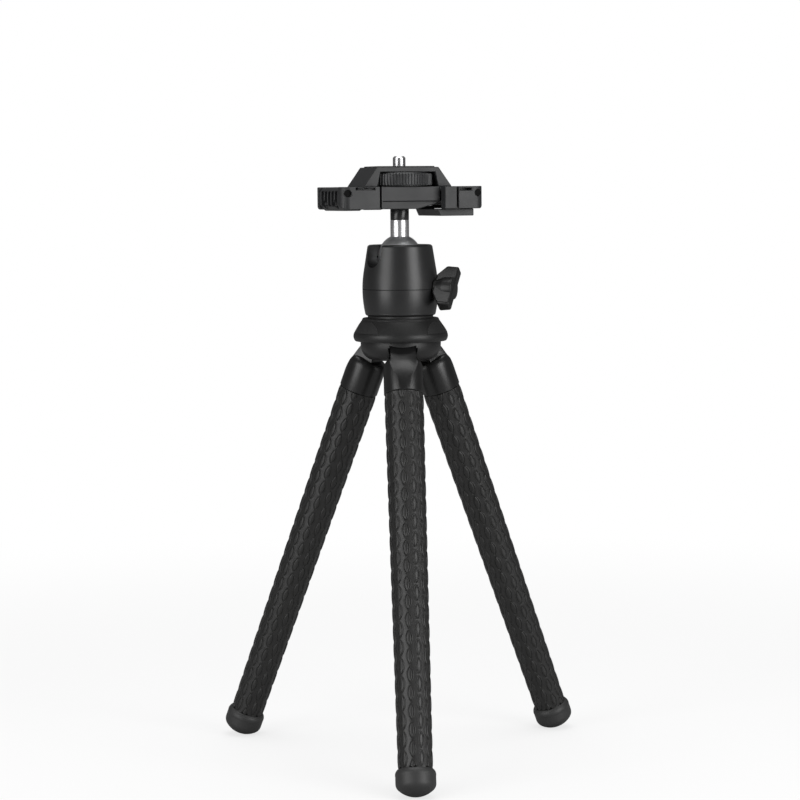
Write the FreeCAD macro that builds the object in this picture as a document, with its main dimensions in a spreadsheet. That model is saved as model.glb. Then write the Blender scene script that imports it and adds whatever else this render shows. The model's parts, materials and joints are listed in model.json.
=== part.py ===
import FreeCAD, Part
import os
import re
import Sketcher

from FreeCAD import Placement, Rotation, Vector

# A table-top tripod: three bendable legs, a ball head and a clamp for a camera or a phone.
# The legs' common axis is Z, the floor is at height 0 and the front leg points towards -Y.
doc = FreeCAD.newDocument("MiniTripod")

# Driving sizes, in millimetres and degrees
size_rows = [
    ("leg_count", 3, "legs spaced evenly round the axis"),
    ("leg_splay", 21.7, "angle of a standing leg from the vertical"),
    ("leg_reach", 220.3, "hinge pin to the tip of the foot"),
    ("hinge_radius", 16.4, "hinge pin to the tripod's axis"),
    ("hinge_pin_diameter", 4.0, "leg hinge pin"),
    ("hinge_pin_length", 19.6, "leg hinge pin"),
    ("pin_clearance", 0.05, "running clearance on a pin's radius"),
    ("tongue_width", 12.6, "ferrule tongue along its pin"),
    ("tongue_radius", 4.6, "rounded end of the tongue about its pin"),
    ("slot_gap", 0.4, "clearance between a tongue and its slot"),
    ("slot_flare", 1.0, "flared mouth of a slot"),
    ("ferrule_diameter", 19.8, "ferrule at the top of a leg"),
    ("ferrule_shoulder", 7.2, "hinge pin to the top of the shoulder"),
    ("ferrule_shoulder_drop", 4.4, "height of the rounded shoulder"),
    ("ferrule_shoulder_width", 3.3, "width of the rounded shoulder"),
    ("ferrule_end", 21.9, "hinge pin to the bottom of the ferrule"),
    ("sleeve_top_diameter", 19.3, "rubber sleeve at the ferrule"),
    ("sleeve_foot_diameter", 16.6, "rubber sleeve at the foot"),
    ("core_diameter", 6.4, "bundle of soft metal wires in a leg"),
    ("core_grip", 9.0, "length of wire held in the ferrule"),
    ("bend_length", 14.0, "stretch of leg that bends in this model"),
    ("foot_length", 13.2, "rubber foot along the leg"),
    ("foot_diameter", 19.46, "rubber foot"),
    ("foot_grip", 3.0, "length of wire held in the foot"),
    ("foot_shoulder", 3.5, "height of the foot's rounded shoulder"),
    ("foot_shoulder_width", 1.33, "width of the foot's rounded shoulder"),
    ("foot_dome_radius", 12.3, "domed sole"),
    ("foot_corner_radius", 4.0, "corner between wall and sole"),
    ("hub_under_hinge", 4.2, "hinge pin to the underside of the hub"),
    ("rim_over_hinge", 5.4, "hinge pin to the underside of the flared cap"),
    ("hub_body_diameter", 40.6, "bowl that holds the leg hinges"),
    ("bowl_wall", 1.6, "straight top of the bowl's side"),
    ("bowl_bulge_inset", 1.1, "curved side of the bowl, in from its widest line"),
    ("bowl_bulge_rise", 3.9, "curved side of the bowl, above its underside"),
    ("hub_floor_diameter", 27.0, "flat underside of the bowl"),
    ("hub_rim_diameter", 47.8, "widest part of the flared cap"),
    ("hub_rim_height", 4.2, "rim below the flare"),
    ("rim_under_inset", 1.0, "underside of the rim in from its widest line"),
    ("rim_top_inset", 0.4, "top of the rim in from its widest line"),
    ("rim_widest_rise", 2.73, "widest line of the rim above its underside"),
    ("hub_top_diameter", 39.0, "top of the flared cap"),
    ("hub_cap_height", 11.7, "flared cap"),
    ("hub_edge_radius", 1.1, "rounded top edge of the flared cap"),
    ("spigot_diameter", 28.0, "centring spigot of the bowl in the cap"),
    ("spigot_height", 4.5, "centring spigot of the bowl in the cap"),
    ("grip_pad_half_width", 11.2, "textured finger pad on the flare"),
    ("grip_pad_proud", 0.15, "finger pad above the flare"),
    ("grip_pad_depth", 0.9, "finger pad set into the flare"),
    ("grip_pad_lean", 0.4, "top of a finger pad out from the cap's top edge"),
    ("hub_screw_diameter", 3.0, "screws that join bowl and cap"),
    ("hub_screw_radius", 9.6, "screws to the axis"),
    ("hub_screw_head_diameter", 5.2, "head of a joining screw"),
    ("hub_screw_head_height", 2.0, "head of a joining screw"),
    ("hub_screw_length", 16.0, "joining screw under its head"),
    ("screw_recess", 0.4, "screw heads below the underside of the hub"),
    ("fit_gap", 0.1, "side clearance of a piece seated in another"),
    ("head_screw_diameter", 6.35, "quarter-inch screw under the ball head"),
    ("head_screw_head_diameter", 10.0, "head of that screw"),
    ("head_screw_head_height", 3.6, "head of that screw"),
    ("head_screw_grip", 5.0, "length of that screw in the head"),
    ("screw_clearance", 0.06, "radial clearance round a screw"),
    ("washer_diameter", 33.0, "friction washer between hub and head"),
    ("washer_thickness", 1.0, "friction washer between hub and head"),
    ("face_gap", 0.05, "running gap of faces that turn on each other"),
    ("head_height", 35.7, "ball head housing"),
    ("head_foot_diameter", 35.8, "housing just above its bottom edge"),
    ("head_waist_diameter", 38.2, "widest part of the housing"),
    ("head_waist_height", 14.6, "widest part above the housing's bottom"),
    ("head_shoulder_diameter", 36.6, "end of the bulge, start of the cone"),
    ("head_shoulder_height", 22.9, "end of the bulge above the housing's bottom"),
    ("head_top_diameter", 33.0, "housing at its top"),
    ("head_edge_radius", 1.5, "rounded edges of the housing"),
    ("seam_height", 13.4, "fine groove above the housing's bottom"),
    ("seam_width", 0.35, "fine groove round the housing"),
    ("seam_depth", 0.3, "fine groove round the housing"),
    ("ball_diameter", 21.9, "ball"),
    ("ball_below_top", 5.85, "ball centre below the housing's top"),
    ("ball_gap", 0.15, "ball to its seats"),
    ("ball_flat_depth", 1.2, "flat under the ball"),
    ("stem_root", 3.0, "lower end of the stem above the ball's centre"),
    ("stem_diameter", 9.4, "bright stem on the ball"),
    ("stem_length", 18.1, "ball centre to the underside of the collar"),
    ("stem_rod_diameter", 6.35, "quarter-inch end of the stem"),
    ("stem_rod_length", 8.0, "quarter-inch end of the stem above the collar"),
    ("collar_length", 5.6, "black collar under the clamp"),
    ("collar_diameter", 9.4, "black collar under the clamp"),
    ("notch_turn", -56.0, "direction of the drop notch from the front leg"),
    ("notch_width", 10.8, "drop notch for the stem"),
    ("mouth_chamfer", 0.6, "chamfer round the ball opening"),
    ("seat_bore", 23.6, "bore of the housing below its lip"),
    ("lip_over_ball", 3.0, "underside of the lip above the ball's centre"),
    ("ring_over_ball", 0.3, "upper ball seat above the ball's centre"),
    ("cup_under_ball", 0.6, "top of the lower ball seat under the ball's centre"),
    ("cup_height", 8.8, "lower ball seat"),
    ("push_block_gap", 0.1, "play of the block under the lower seat"),
    ("wedge_diameter", 6.8, "pin that the knob drives into the push block"),
    ("wedge_start", 6.0, "inner end of that pin, past the axis"),
    ("wedge_end", 9.5, "outer end of that pin to the axis"),
    ("base_plate_thickness", 6.0, "plate that closes the housing"),
    ("base_plate_diameter", 27.0, "plate that closes the housing"),
    ("knob_turn", 66.0, "direction of the lock knob from the front leg"),
    ("knob_height", 13.8, "knob axis above the housing's bottom"),
    ("knob_wing_span", 25.0, "tip to tip across the wings"),
    ("knob_wing_width", 6.6, "width of a wing"),
    ("knob_wing_depth", 6.2, "depth of a wing at its tip"),
    ("knob_edge_radius", 1.0, "rounded edges of the knob"),
    ("knob_reach", 29.4, "outer face of the knob to the head's axis"),
    ("knob_wing_angle", 42.0, "how far the wings are turned from upright"),
    ("knob_boss_diameter", 9.2, "round boss of the knob"),
    ("knob_flat_radius", 18.4, "flat for the knob to the head's axis"),
    ("knob_boss_gap", 0.35, "boss to the flat on the housing"),
    ("knob_boss_length", 1.6, "round boss of the knob"),
    ("knob_root_span", 11.0, "root of the wings at the boss"),
    ("knob_root_width", 8.6, "root of the wings at the boss"),
    ("knob_face_dip", 0.6, "hollow in the knob's outer face between its wing tips"),
    ("knob_middle_setback", 1.2, "round middle of the knob behind its wing tips"),
    ("knob_boss_bite", 0.8, "boss of the knob run on into its wings"),
    ("knob_screw_diameter", 5.0, "screw in the knob"),
    ("knob_screw_grip", 5.0, "length of that screw in the knob's wings"),
    ("knob_screw_tip", 9.8, "tip of the knob's screw to the head's axis"),
    ("clamp_turn", 18.8, "clamp turned about its stem"),
    ("clamp_height", 11.2, "arms and base of the clamp"),
    ("clamp_half_length", 38.2, "outer end of an arm to the stem"),
    ("clamp_depth", 39.0, "arms, front to back"),
    ("arm_inner_end", 16.8, "inner end of an arm to the stem"),
    ("arm_corner_radius", 4.7, "upright corners of an arm"),
    ("arm_end_radius", 2.5, "rounded lower end of an arm"),
    ("arm_recess_depth", 1.0, "shallow step in the top of an arm"),
    ("arm_recess_inset", 10.2, "outer end of that step to the outer end of the arm"),
    ("arm_recess_edge", 1.2, "inner end of that step to the inner end of the arm"),
    ("arm_recess_width", 3.4, "width of that step"),
    ("web_gap", 2.3, "web between the cheeks to the ledge of the base"),
    ("web_inset", 7.0, "web between the cheeks to the outer end of the arm"),
    ("web_height", 5.6, "web between the cheeks"),
    ("arm_pin_inset", 3.4, "arm hinge pin to the outer end of the arm"),
    ("arm_pin_drop", 3.3, "arm hinge pin below the top of the arm"),
    ("arm_pin_diameter", 3.4, "arm hinge pin"),
    ("arm_pin_recess", 1.2, "pin end below the face of the arm"),
    ("base_depth", 27.0, "centre block and wing of the clamp base"),
    ("base_half_length", 16.6, "centre block of the clamp base"),
    ("cheek_gap", 0.4, "side clearance between base and arm"),
    ("turn_gap", 0.3, "clearance round parts that turn or slide"),
    ("band_height", 7.3, "raised upper band of the centre block"),
    ("band_step", 0.5, "lower band set back from the upper one"),
    ("base_taper_start", 4.6, "start of the slanted underside"),
    ("base_taper_rise", 3.1, "height of the slanted underside"),
    ("wing_foot_drop", 0.6, "wing below the underside of the arm"),
    ("wing_foot_inset", 3.2, "wing's foot to the outer end of the arm"),
    ("wing_foot_length", 8.6, "wing's foot along the wing"),
    ("wing_neck", 5.2, "height of the wing between base and pin"),
    ("boss_radius", 3.1, "boss round an arm's hinge pin"),
    ("block_foot_width", 47.4, "camera block at its foot"),
    ("block_top_width", 33.2, "camera block at its top"),
    ("block_height", 9.7, "camera block"),
    ("block_depth", 23.6, "camera block, front to back"),
    ("window_foot_width", 32.7, "window for the thumb wheel at its foot"),
    ("window_top_width", 29.4, "window for the thumb wheel at its top"),
    ("window_height", 7.2, "window for the thumb wheel"),
    ("pad_thickness", 1.0, "rubber pad under the camera"),
    ("pad_proud", 0.5, "rubber pad above its recess"),
    ("pad_margin", 1.6, "edge of the block round the pad"),
    ("wheel_diameter", 33.4, "thumb wheel of the camera screw"),
    ("wheel_thickness", 6.3, "thumb wheel of the camera screw"),
    ("wheel_teeth", 66, "grooves of the thumb wheel"),
    ("wheel_tooth_depth", 0.5, "grooves of the thumb wheel"),
    ("wheel_groove_width", 0.95, "grooves of the thumb wheel at its rim"),
    ("wheel_gap", 0.4, "thumb wheel to the window's floor and roof"),
    ("camera_screw_diameter", 6.35, "quarter-inch camera screw"),
    ("camera_screw_reach", 5.0, "camera screw above the pad"),
    ("camera_screw_neck", 6.0, "plain neck of the camera screw below the pad's top"),
    ("camera_screw_root", 2.0, "camera screw below the top of the base"),
    ("screw_tip", 0.8, "chamfered tip of the camera screw"),
    ("ledge_end", 22.0, "outer end of the ledges under the camera block to the stem"),
    ("flange_thickness", 2.4, "ledges of the base under the camera block"),
    ("block_screw_diameter", 2.6, "screws that hold the camera block"),
    ("block_screw_offset", 19.3, "those screws to the stem"),
    ("block_screw_spacing", 16.0, "those screws, front to back"),
    ("block_screw_bite", 3.0, "those screws in the camera block"),
    ("block_screw_head_diameter", 4.8, "heads of those screws"),
    ("block_screw_head_height", 1.4, "heads of those screws"),
    ("rod_diameter", 2.4, "guide rods of the sliding jaw"),
    ("rod_spacing", 17.0, "guide rods, front to back"),
    ("rod_rise", 2.7, "guide rods above the underside of the arms"),
    ("spring_packed", 8.1, "springs pressed together at full travel"),
    ("rod_head_length", 1.5, "head on the inner end of a guide rod"),
    ("rod_clearance", 0.05, "running clearance round a guide rod"),
    ("spring_bore", 4.2, "bore round a spring"),
    ("spring_seat", 4.6, "step in the base that a spring pushes on"),
    ("jaw_travel", 28.0, "travel of the sliding jaw"),
    ("jaw_plate_drop", 3.6, "sliding plate below the arms"),
    ("jaw_plate_thickness", 3.1, "sliding plate"),
    ("jaw_plate_start", 6.8, "inner end of the sliding plate"),
    ("jaw_plate_inset", 3.8, "outer end of the sliding plate to the outer end of the arm"),
    ("jaw_plate_depth", 29.0, "sliding plate, front to back"),
    ("jaw_plate_slant", 1.6, "slanted inner end of the sliding plate"),
    ("spring_diameter", 3.8, "pull-back springs of the sliding jaw"),
    ("spring_wire", 0.6, "pull-back springs of the sliding jaw"),
    ("jaw_pad_thickness", 1.0, "rubber grip of an arm"),
    ("jaw_pad_proud", 0.2, "rubber grip above its recess"),
    ("jaw_pad_length", 8.0, "rubber grip along the arm"),
    ("jaw_pad_margin", 0.8, "edge of a cheek beside its rubber grip"),
    ("cut_over", 1.0, "how far a cut runs past a face"),
]

sheet = doc.addObject("Spreadsheet::Sheet", "Sizes")
for number, (alias, value, meaning) in enumerate(size_rows, start=1):
    sheet.set(f"A{number}", meaning)
    sheet.set(f"B{number}", str(value))
    sheet.setAlias(f"B{number}", alias)
doc.recompute()
aliases = {alias for alias, value, meaning in size_rows}

# Heights and places worked out from the driving sizes
# A quarter round passes its corner at mid_arc times its radius in both directions
derived = {
    "mid_arc": "1 - cos(45)",
    "hinge_height": "(leg_reach - foot_dome_radius) * cos(leg_splay) + foot_dome_radius",
    "foot_start": "leg_reach - foot_length",
    "bend_place": "(ferrule_end + foot_start) / 2",
    "sleeve_slope": "(sleeve_top_diameter - sleeve_foot_diameter) / 2 / (foot_start - ferrule_end)",
    "hub_bottom": "hinge_height - hub_under_hinge",
    "rim_bottom": "hinge_height + rim_over_hinge",
    "hub_top": "rim_bottom + hub_cap_height",
    "head_bottom": "hub_top + washer_thickness + face_gap",
    "head_top": "head_bottom + head_height",
    "ball_height": "head_top - ball_below_top",
    "foot_corner_across": "foot_diameter / 2 - foot_corner_radius",
    "foot_corner_drop": "sqrt(pow(foot_dome_radius - foot_corner_radius; 2) - pow(foot_corner_across; 2))",
    "foot_corner_turn": "atan(foot_corner_drop / foot_corner_across) / 1 deg",
    "dome_centre": "leg_reach - foot_dome_radius",
    "bend_start": "bend_place - bend_length / 2",
    "bend_end": "bend_place + bend_length / 2",
    "ball_radius": "ball_diameter / 2",
    "socket_radius": "ball_radius + ball_gap",
    "collar_bottom": "ball_height + stem_length",
    "clamp_bottom": "collar_bottom + collar_length",
    "clamp_top": "clamp_bottom + clamp_height",
    "block_top": "clamp_top + block_height",
    "pad_top": "block_top + pad_proud",
    "arm_pin_height": "clamp_top - arm_pin_drop",
    "cheek_inner": "base_depth / 2 + cheek_gap",
    "knob_axis": "head_bottom + knob_height",
    "rod_height": "clamp_bottom + rod_rise",
    "wheel_bottom": "clamp_top + wheel_gap",
    "arm_pin_offset": "clamp_half_length - arm_pin_inset",
    "arm_recess_start": "clamp_half_length - arm_recess_inset",
    "arm_recess_end": "arm_inner_end + arm_recess_edge",
    "web_start": "ledge_end + web_gap",
    "web_end": "clamp_half_length - web_inset",
    "wing_foot_end": "clamp_half_length - wing_foot_inset",
    "wing_foot_start": "wing_foot_end - wing_foot_length",
    "rod_start": "jaw_travel + spring_packed - spring_seat + rod_head_length",
    "jaw_plate_end": "clamp_half_length - jaw_plate_inset",
}


# Lengths below this count as none when sketch points are compared
hair = 1e-6


def swap_names(text, swap):
    """Puts every name of an expression through a function."""
    return re.sub("[a-z_]+", lambda match: swap(match.group()), text)


def full(text):
    """Writes derived names out until only sheet aliases are left."""
    while True:
        longer = swap_names(text, lambda name: f"({derived[name]})" if name in derived else name)
        if longer == text:
            return text
        text = longer


def bound(text):
    """The expression as the document's objects read it."""
    return swap_names(full(text), lambda name: f"Sizes.{name}" if name in aliases else name)


def size(text):
    """The value of an expression in the sheet's sizes."""
    return float(sheet.evalExpression(bound(text).replace("Sizes.", "")))


def add(kind, name):
    """A new object of the document with its own label."""
    made = doc.addObject(kind, name)
    made.Label = name
    return made


def bind(thing, **places):
    """Ties properties to expressions in the sheet; two underscores stand for a dot."""
    for place, text in places.items():
        thing.setExpression(place.replace("__", "."), bound(text))


def drawing(body, plane, turn="0", offset="0"):
    """A sketch on a body's own origin plane, turned about the plane's Y axis and moved along its normal."""
    made = body.newObject("Sketcher::SketchObject", body.Name + "Drawing")
    base = [feature for feature in body.Origin.OriginFeatures if feature.Role == plane][0]
    made.AttachmentSupport = [(base, "")]
    made.MapMode = "FlatFace"
    made.AttachmentOffset = Placement(Vector(0, 0, 0), Rotation(Vector(0, 1, 0), size(turn)))
    bind(made, AttachmentOffset__Rotation__Angle=turn)
    bind(made, AttachmentOffset__Base__x=f"({offset}) * sin({turn})")
    bind(made, AttachmentOffset__Base__z=f"({offset}) * cos({turn})")
    return made


def fix_point(sketch, element, end, x, y):
    """Ties one point of a sketch to two expressions."""
    for kind, text, axis in (("DistanceX", x, -2), ("DistanceY", y, -1)):
        value = size(text)
        if abs(value) < hair:
            sketch.addConstraint(Sketcher.Constraint("PointOnObject", element, end, axis))
            continue
        index = sketch.addConstraint(Sketcher.Constraint(kind, -1, 1, element, end, value))
        sketch.setExpression(f"Constraints[{index}]", bound(text))


def outline(sketch, *corners):
    """A closed outline: (x, y) ends a line, and (x, y, over x, over y) ends an arc over a point."""
    spots = [Vector(size(c[0]), size(c[1]), 0) for c in corners]
    first = sketch.GeometryCount
    for n, corner in enumerate(corners):
        start, stop = spots[n - 1], spots[n]
        if len(corner) == 4:
            over = Vector(size(corner[2]), size(corner[3]), 0)
            anticlockwise = (over - start).cross(stop - over).z > 0
            first_end, last_end = (start, stop) if anticlockwise else (stop, start)
            sketch.addGeometry(Part.Arc(first_end, over, last_end), False)
        else:
            sketch.addGeometry(Part.LineSegment(start, stop), False)
    ends = []
    for n, corner in enumerate(corners):
        curve = sketch.Geometry[first + n]
        starts_first = (curve.StartPoint - spots[n - 1]).Length < hair
        ends.append((1, 2) if starts_first else (2, 1))
    count = len(corners)
    for n in range(count):
        after = (n + 1) % count
        sketch.addConstraint(
            Sketcher.Constraint("Coincident", first + n, ends[n][1], first + after, ends[after][0])
        )
        fix_point(sketch, first + n, ends[n][1], corners[n][0], corners[n][1])
    for n, corner in enumerate(corners):
        if len(corner) == 4:
            point = sketch.addGeometry(Part.Point(Vector(size(corner[2]), size(corner[3]), 0)), True)
            fix_point(sketch, point, 1, corner[2], corner[3])
            sketch.addConstraint(Sketcher.Constraint("PointOnObject", point, 1, first + n))


def circle(sketch, x, y, radius):
    """A circle with its centre and radius tied to expressions."""
    centre = Vector(size(x), size(y), 0)
    index = sketch.addGeometry(Part.Circle(centre, Vector(0, 0, 1), size(radius)), False)
    fix_point(sketch, index, 3, x, y)
    number = sketch.addConstraint(Sketcher.Constraint("Radius", index, size(radius)))
    sketch.setExpression(f"Constraints[{number}]", bound(radius))


def box_outline(sketch, x_low, x_high, y_low, y_high):
    """A rectangle between four expressions."""
    outline(sketch, (x_low, y_low), (x_high, y_low), (x_high, y_high), (x_low, y_high))


def feature(body, kind, sketch, **places):
    """A pad, pocket, revolution or groove made from a sketch."""
    made = body.newObject("PartDesign::" + kind, body.Name + kind)
    made.Profile = sketch
    if kind in ("Revolution", "Groove"):
        made.ReferenceAxis = (sketch, ["V_Axis"])
        made.Angle = 360
    bind(made, **places)
    doc.recompute()
    return made


def around(body, *features):
    """Repeats features of a body evenly round the tripod's axis, once for each leg."""
    made = body.newObject("PartDesign::PolarPattern", body.Name + "Pattern")
    made.Originals = list(features)
    made.Axis = ([part for part in body.Origin.OriginFeatures if part.Role == "Z_Axis"][0], [""])
    made.Angle = 360
    bind(made, Occurrences="leg_count")
    body.Tip = made
    doc.recompute()
    return made


def cylinder_of(body, sketch_plane, x, y, radius, length, turn="0", offset="0", kind="Pad", side="One side"):
    """A round pad or pocket on one of a body's planes."""
    sketch = drawing(body, sketch_plane, turn, offset)
    circle(sketch, x, y, radius)
    made = feature(body, kind, sketch, Length=length)
    made.SideType = side
    doc.recompute()
    return made


def block_of(body, corners, length, turn="0", offset="0", plane="XZ_Plane", kind="Pad", side="Symmetric"):
    """An outlined pad or pocket on one of a body's planes."""
    sketch = drawing(body, plane, turn, offset)
    outline(sketch, *corners)
    made = feature(body, kind, sketch, Length=length)
    made.SideType = side
    doc.recompute()
    return made


def turned(label, *corners):
    """A body of revolution about its own Z axis."""
    body = add("PartDesign::Body", label)
    sketch = drawing(body, "XZ_Plane")
    outline(sketch, *corners)
    feature(body, "Revolution", sketch)
    return body


def hexagon(sketch, x, y, across):
    """A hexagonal socket, given by its width across the flats."""
    reach = f"{across} / sqrt(3)"
    sides = 6
    corners = []
    for number in range(sides):
        angle = 360 / sides * number
        corners.append((f"{x} + {reach} * cos({angle})", f"{y} + {reach} * sin({angle})"))
    outline(sketch, *corners)


nodes = []


def node(shape_object, placement=None):
    """Puts a finished sub-part on the list of files to write."""
    if placement is not None:
        shape_object.Placement = placement
    nodes.append(shape_object)
    return shape_object


# Hub: a bowl with three hinge slots under a flared cap
hub_bore = "(head_screw_diameter / 2 + screw_clearance)"
screw_seat = "(hub_bottom + screw_recess + head_screw_head_height)"
small_seat = "(hub_bottom + screw_recess + hub_screw_head_height)"
spigot_top = "(rim_bottom + spigot_height)"
flare_foot = "(rim_bottom + hub_rim_height)"
flare_top = "(hub_top - hub_edge_radius)"

bowl = turned(
    "hub_body",
    (hub_bore, screw_seat),
    ("head_screw_head_diameter / 2 + screw_clearance", screw_seat),
    ("head_screw_head_diameter / 2 + screw_clearance", "hub_bottom"),
    ("hub_floor_diameter / 2", "hub_bottom"),
    (
        "hub_body_diameter / 2", "rim_bottom - bowl_wall",
        "hub_body_diameter / 2 - bowl_bulge_inset", "hub_bottom + bowl_bulge_rise",
    ),
    ("hub_body_diameter / 2", "rim_bottom"),
    ("spigot_diameter / 2", "rim_bottom"),
    ("spigot_diameter / 2", spigot_top),
    (hub_bore, spigot_top),
)
slot_half = "(tongue_width / 2 + slot_gap)"
slot_end = "(hinge_radius - tongue_radius - slot_gap)"
mouth = "(hub_body_diameter / 2 - slot_flare)"
slot = block_of(
    bowl,
    [
        (f"-{slot_half}", f"-{slot_end}"),
        (f"-{slot_half}", f"-{mouth}"),
        (f"-{slot_half} - 2 * slot_flare", f"-{mouth} - 2 * slot_flare"),
        (f"{slot_half} + 2 * slot_flare", f"-{mouth} - 2 * slot_flare"),
        (slot_half, f"-{mouth}"),
        (slot_half, f"-{slot_end}"),
    ],
    "hub_under_hinge + tongue_radius + slot_gap + cut_over",
    plane="XY_Plane",
    offset="hinge_height + tongue_radius + slot_gap",
    kind="Pocket",
    side="One side",
)
pin_hole = cylinder_of(
    bowl, "YZ_Plane", "-hinge_radius", "hinge_height", "hinge_pin_diameter / 2 + pin_clearance",
    "hub_body_diameter", kind="Pocket", side="Symmetric",
)
head_hole = cylinder_of(
    bowl, "XY_Plane", "0", "hub_screw_radius", "hub_screw_head_diameter / 2 + screw_clearance",
    "screw_recess + hub_screw_head_height + cut_over", offset=small_seat, kind="Pocket",
)
shank_hole = cylinder_of(
    bowl, "XY_Plane", "0", "hub_screw_radius", "hub_screw_diameter / 2 + screw_clearance",
    "spigot_height + rim_over_hinge + hub_under_hinge + cut_over", offset=spigot_top, kind="Pocket",
)
around(bowl, slot, pin_hole, head_hole, shank_hole)
node(bowl)


def flare_band(label, outward, inner):
    """The flared skirt moved outwards, down to a depth under its surface."""
    middle = "(hub_rim_diameter + hub_top_diameter) / 4"
    height = f"({flare_foot} + {flare_top}) / 2"
    high = f"({flare_top} - hub_edge_radius / 2)"
    return turned(
        label,
        (f"hub_rim_diameter / 2 - rim_top_inset - {inner}", flare_foot),
        (f"hub_rim_diameter / 2 - rim_top_inset + {outward}", flare_foot),
        (f"hub_top_diameter / 2 + grip_pad_lean + {outward}", high, f"{middle} + {outward}", height),
        (f"hub_top_diameter / 2 + grip_pad_lean - {inner}", high),
    )


cap_blank = turned(
    "cap_blank",
    (hub_bore, f"{spigot_top} + fit_gap"),
    ("spigot_diameter / 2 + fit_gap", f"{spigot_top} + fit_gap"),
    ("spigot_diameter / 2 + fit_gap", "rim_bottom"),
    ("hub_rim_diameter / 2 - rim_under_inset", "rim_bottom"),
    (
        "hub_rim_diameter / 2 - rim_top_inset", flare_foot,
        "hub_rim_diameter / 2", "rim_bottom + rim_widest_rise",
    ),
    (
        "hub_top_diameter / 2", flare_top,
        "(hub_rim_diameter + hub_top_diameter) / 4", f"({flare_foot} + {flare_top}) / 2",
    ),
    (
        "hub_top_diameter / 2 - hub_edge_radius", "hub_top",
        "hub_top_diameter / 2 - hub_edge_radius * mid_arc", "hub_top - hub_edge_radius * mid_arc",
    ),
    (hub_bore, "hub_top"),
)
pilot = cylinder_of(
    cap_blank, "XY_Plane", "0", "hub_screw_radius", "hub_screw_diameter / 2 + screw_clearance",
    "hub_screw_length", offset=f"{small_seat} + hub_screw_length + fit_gap", kind="Pocket",
)
around(cap_blank, pilot)

arches = add("PartDesign::Body", "pad_arches")
arch = block_of(
    arches,
    [
        ("grip_pad_half_width", flare_foot),
        ("-grip_pad_half_width", flare_foot, "0", flare_top),
    ],
    "hub_rim_diameter",
    turn="180 / leg_count",
    offset="grip_pad_half_width",
    side="One side",
)
around(arches, arch)

pad_band = flare_band("pad_band", "grip_pad_proud", "grip_pad_depth")
grip_pads = add("Part::Common", "grip_pads")
grip_pads.Base, grip_pads.Tool = pad_band, arches
doc.recompute()
node(grip_pads)
hub_cap = add("Part::Cut", "hub_cap")
hub_cap.Base, hub_cap.Tool = cap_blank, grip_pads
doc.recompute()
node(hub_cap)

leg_pins = add("PartDesign::Body", "leg_pins")
leg_pin = cylinder_of(
    leg_pins, "YZ_Plane", "-hinge_radius", "hinge_height", "hinge_pin_diameter / 2",
    "hinge_pin_length", side="Symmetric",
)
around(leg_pins, leg_pin)
node(leg_pins)

hub_screws = add("PartDesign::Body", "hub_screws")
screw_head = cylinder_of(
    hub_screws, "XY_Plane", "0", "hub_screw_radius", "hub_screw_head_diameter / 2",
    "hub_screw_head_height", offset="hub_bottom + screw_recess",
)
screw_shank = cylinder_of(
    hub_screws, "XY_Plane", "0", "hub_screw_radius", "hub_screw_diameter / 2",
    "hub_screw_length", offset=small_seat,
)
socket = drawing(hub_screws, "XY_Plane", offset="hub_bottom + screw_recess + hub_screw_head_height / 2")
hexagon(socket, "0", "hub_screw_radius", "hub_screw_head_diameter / 2")
screw_socket = feature(hub_screws, "Pocket", socket, Length="hub_screw_head_height")
around(hub_screws, screw_head, screw_shank, screw_socket)
node(hub_screws)

head_screw = turned(
    "head_screw",
    ("0", "hub_bottom + screw_recess"),
    ("head_screw_head_diameter / 2", "hub_bottom + screw_recess"),
    ("head_screw_head_diameter / 2", screw_seat),
    ("head_screw_diameter / 2", screw_seat),
    ("head_screw_diameter / 2", "head_bottom + head_screw_grip"),
    ("0", "head_bottom + head_screw_grip"),
)
socket = drawing(head_screw, "XY_Plane", offset="hub_bottom + screw_recess + head_screw_head_height / 2")
hexagon(socket, "0", "0", "head_screw_head_diameter / 2")
feature(head_screw, "Pocket", socket, Length="head_screw_head_height")
node(head_screw)

head_washer = turned(
    "head_washer",
    (hub_bore, "hub_top"),
    ("washer_diameter / 2", "hub_top"),
    ("washer_diameter / 2", "hub_top + washer_thickness"),
    (hub_bore, "hub_top + washer_thickness"),
)
node(head_washer)

# Legs: each one hangs from its hinge pin, with the leg's own axis pointing up at the pin
core = "core_diameter / 2"


def sleeve_radius(place):
    """Radius of the tapered sleeve at a place along the leg."""
    return f"(sleeve_top_diameter / 2 - sleeve_slope * ({place} - ferrule_end))"


def sleeve(label, start, end):
    """A stretch of rubber sleeve with the bore for its core."""
    return turned(
        label,
        (core, f"-({start})"),
        (sleeve_radius(start), f"-({start})"),
        (sleeve_radius(end), f"-({end})"),
        (core, f"-({end})"),
    )


def core_piece(label, start, end):
    """A stretch of the wire bundle."""
    return turned(
        label,
        ("0", f"-({start})"),
        (core, f"-({start})"),
        (core, f"-({end})"),
        ("0", f"-({end})"),
    )


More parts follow.
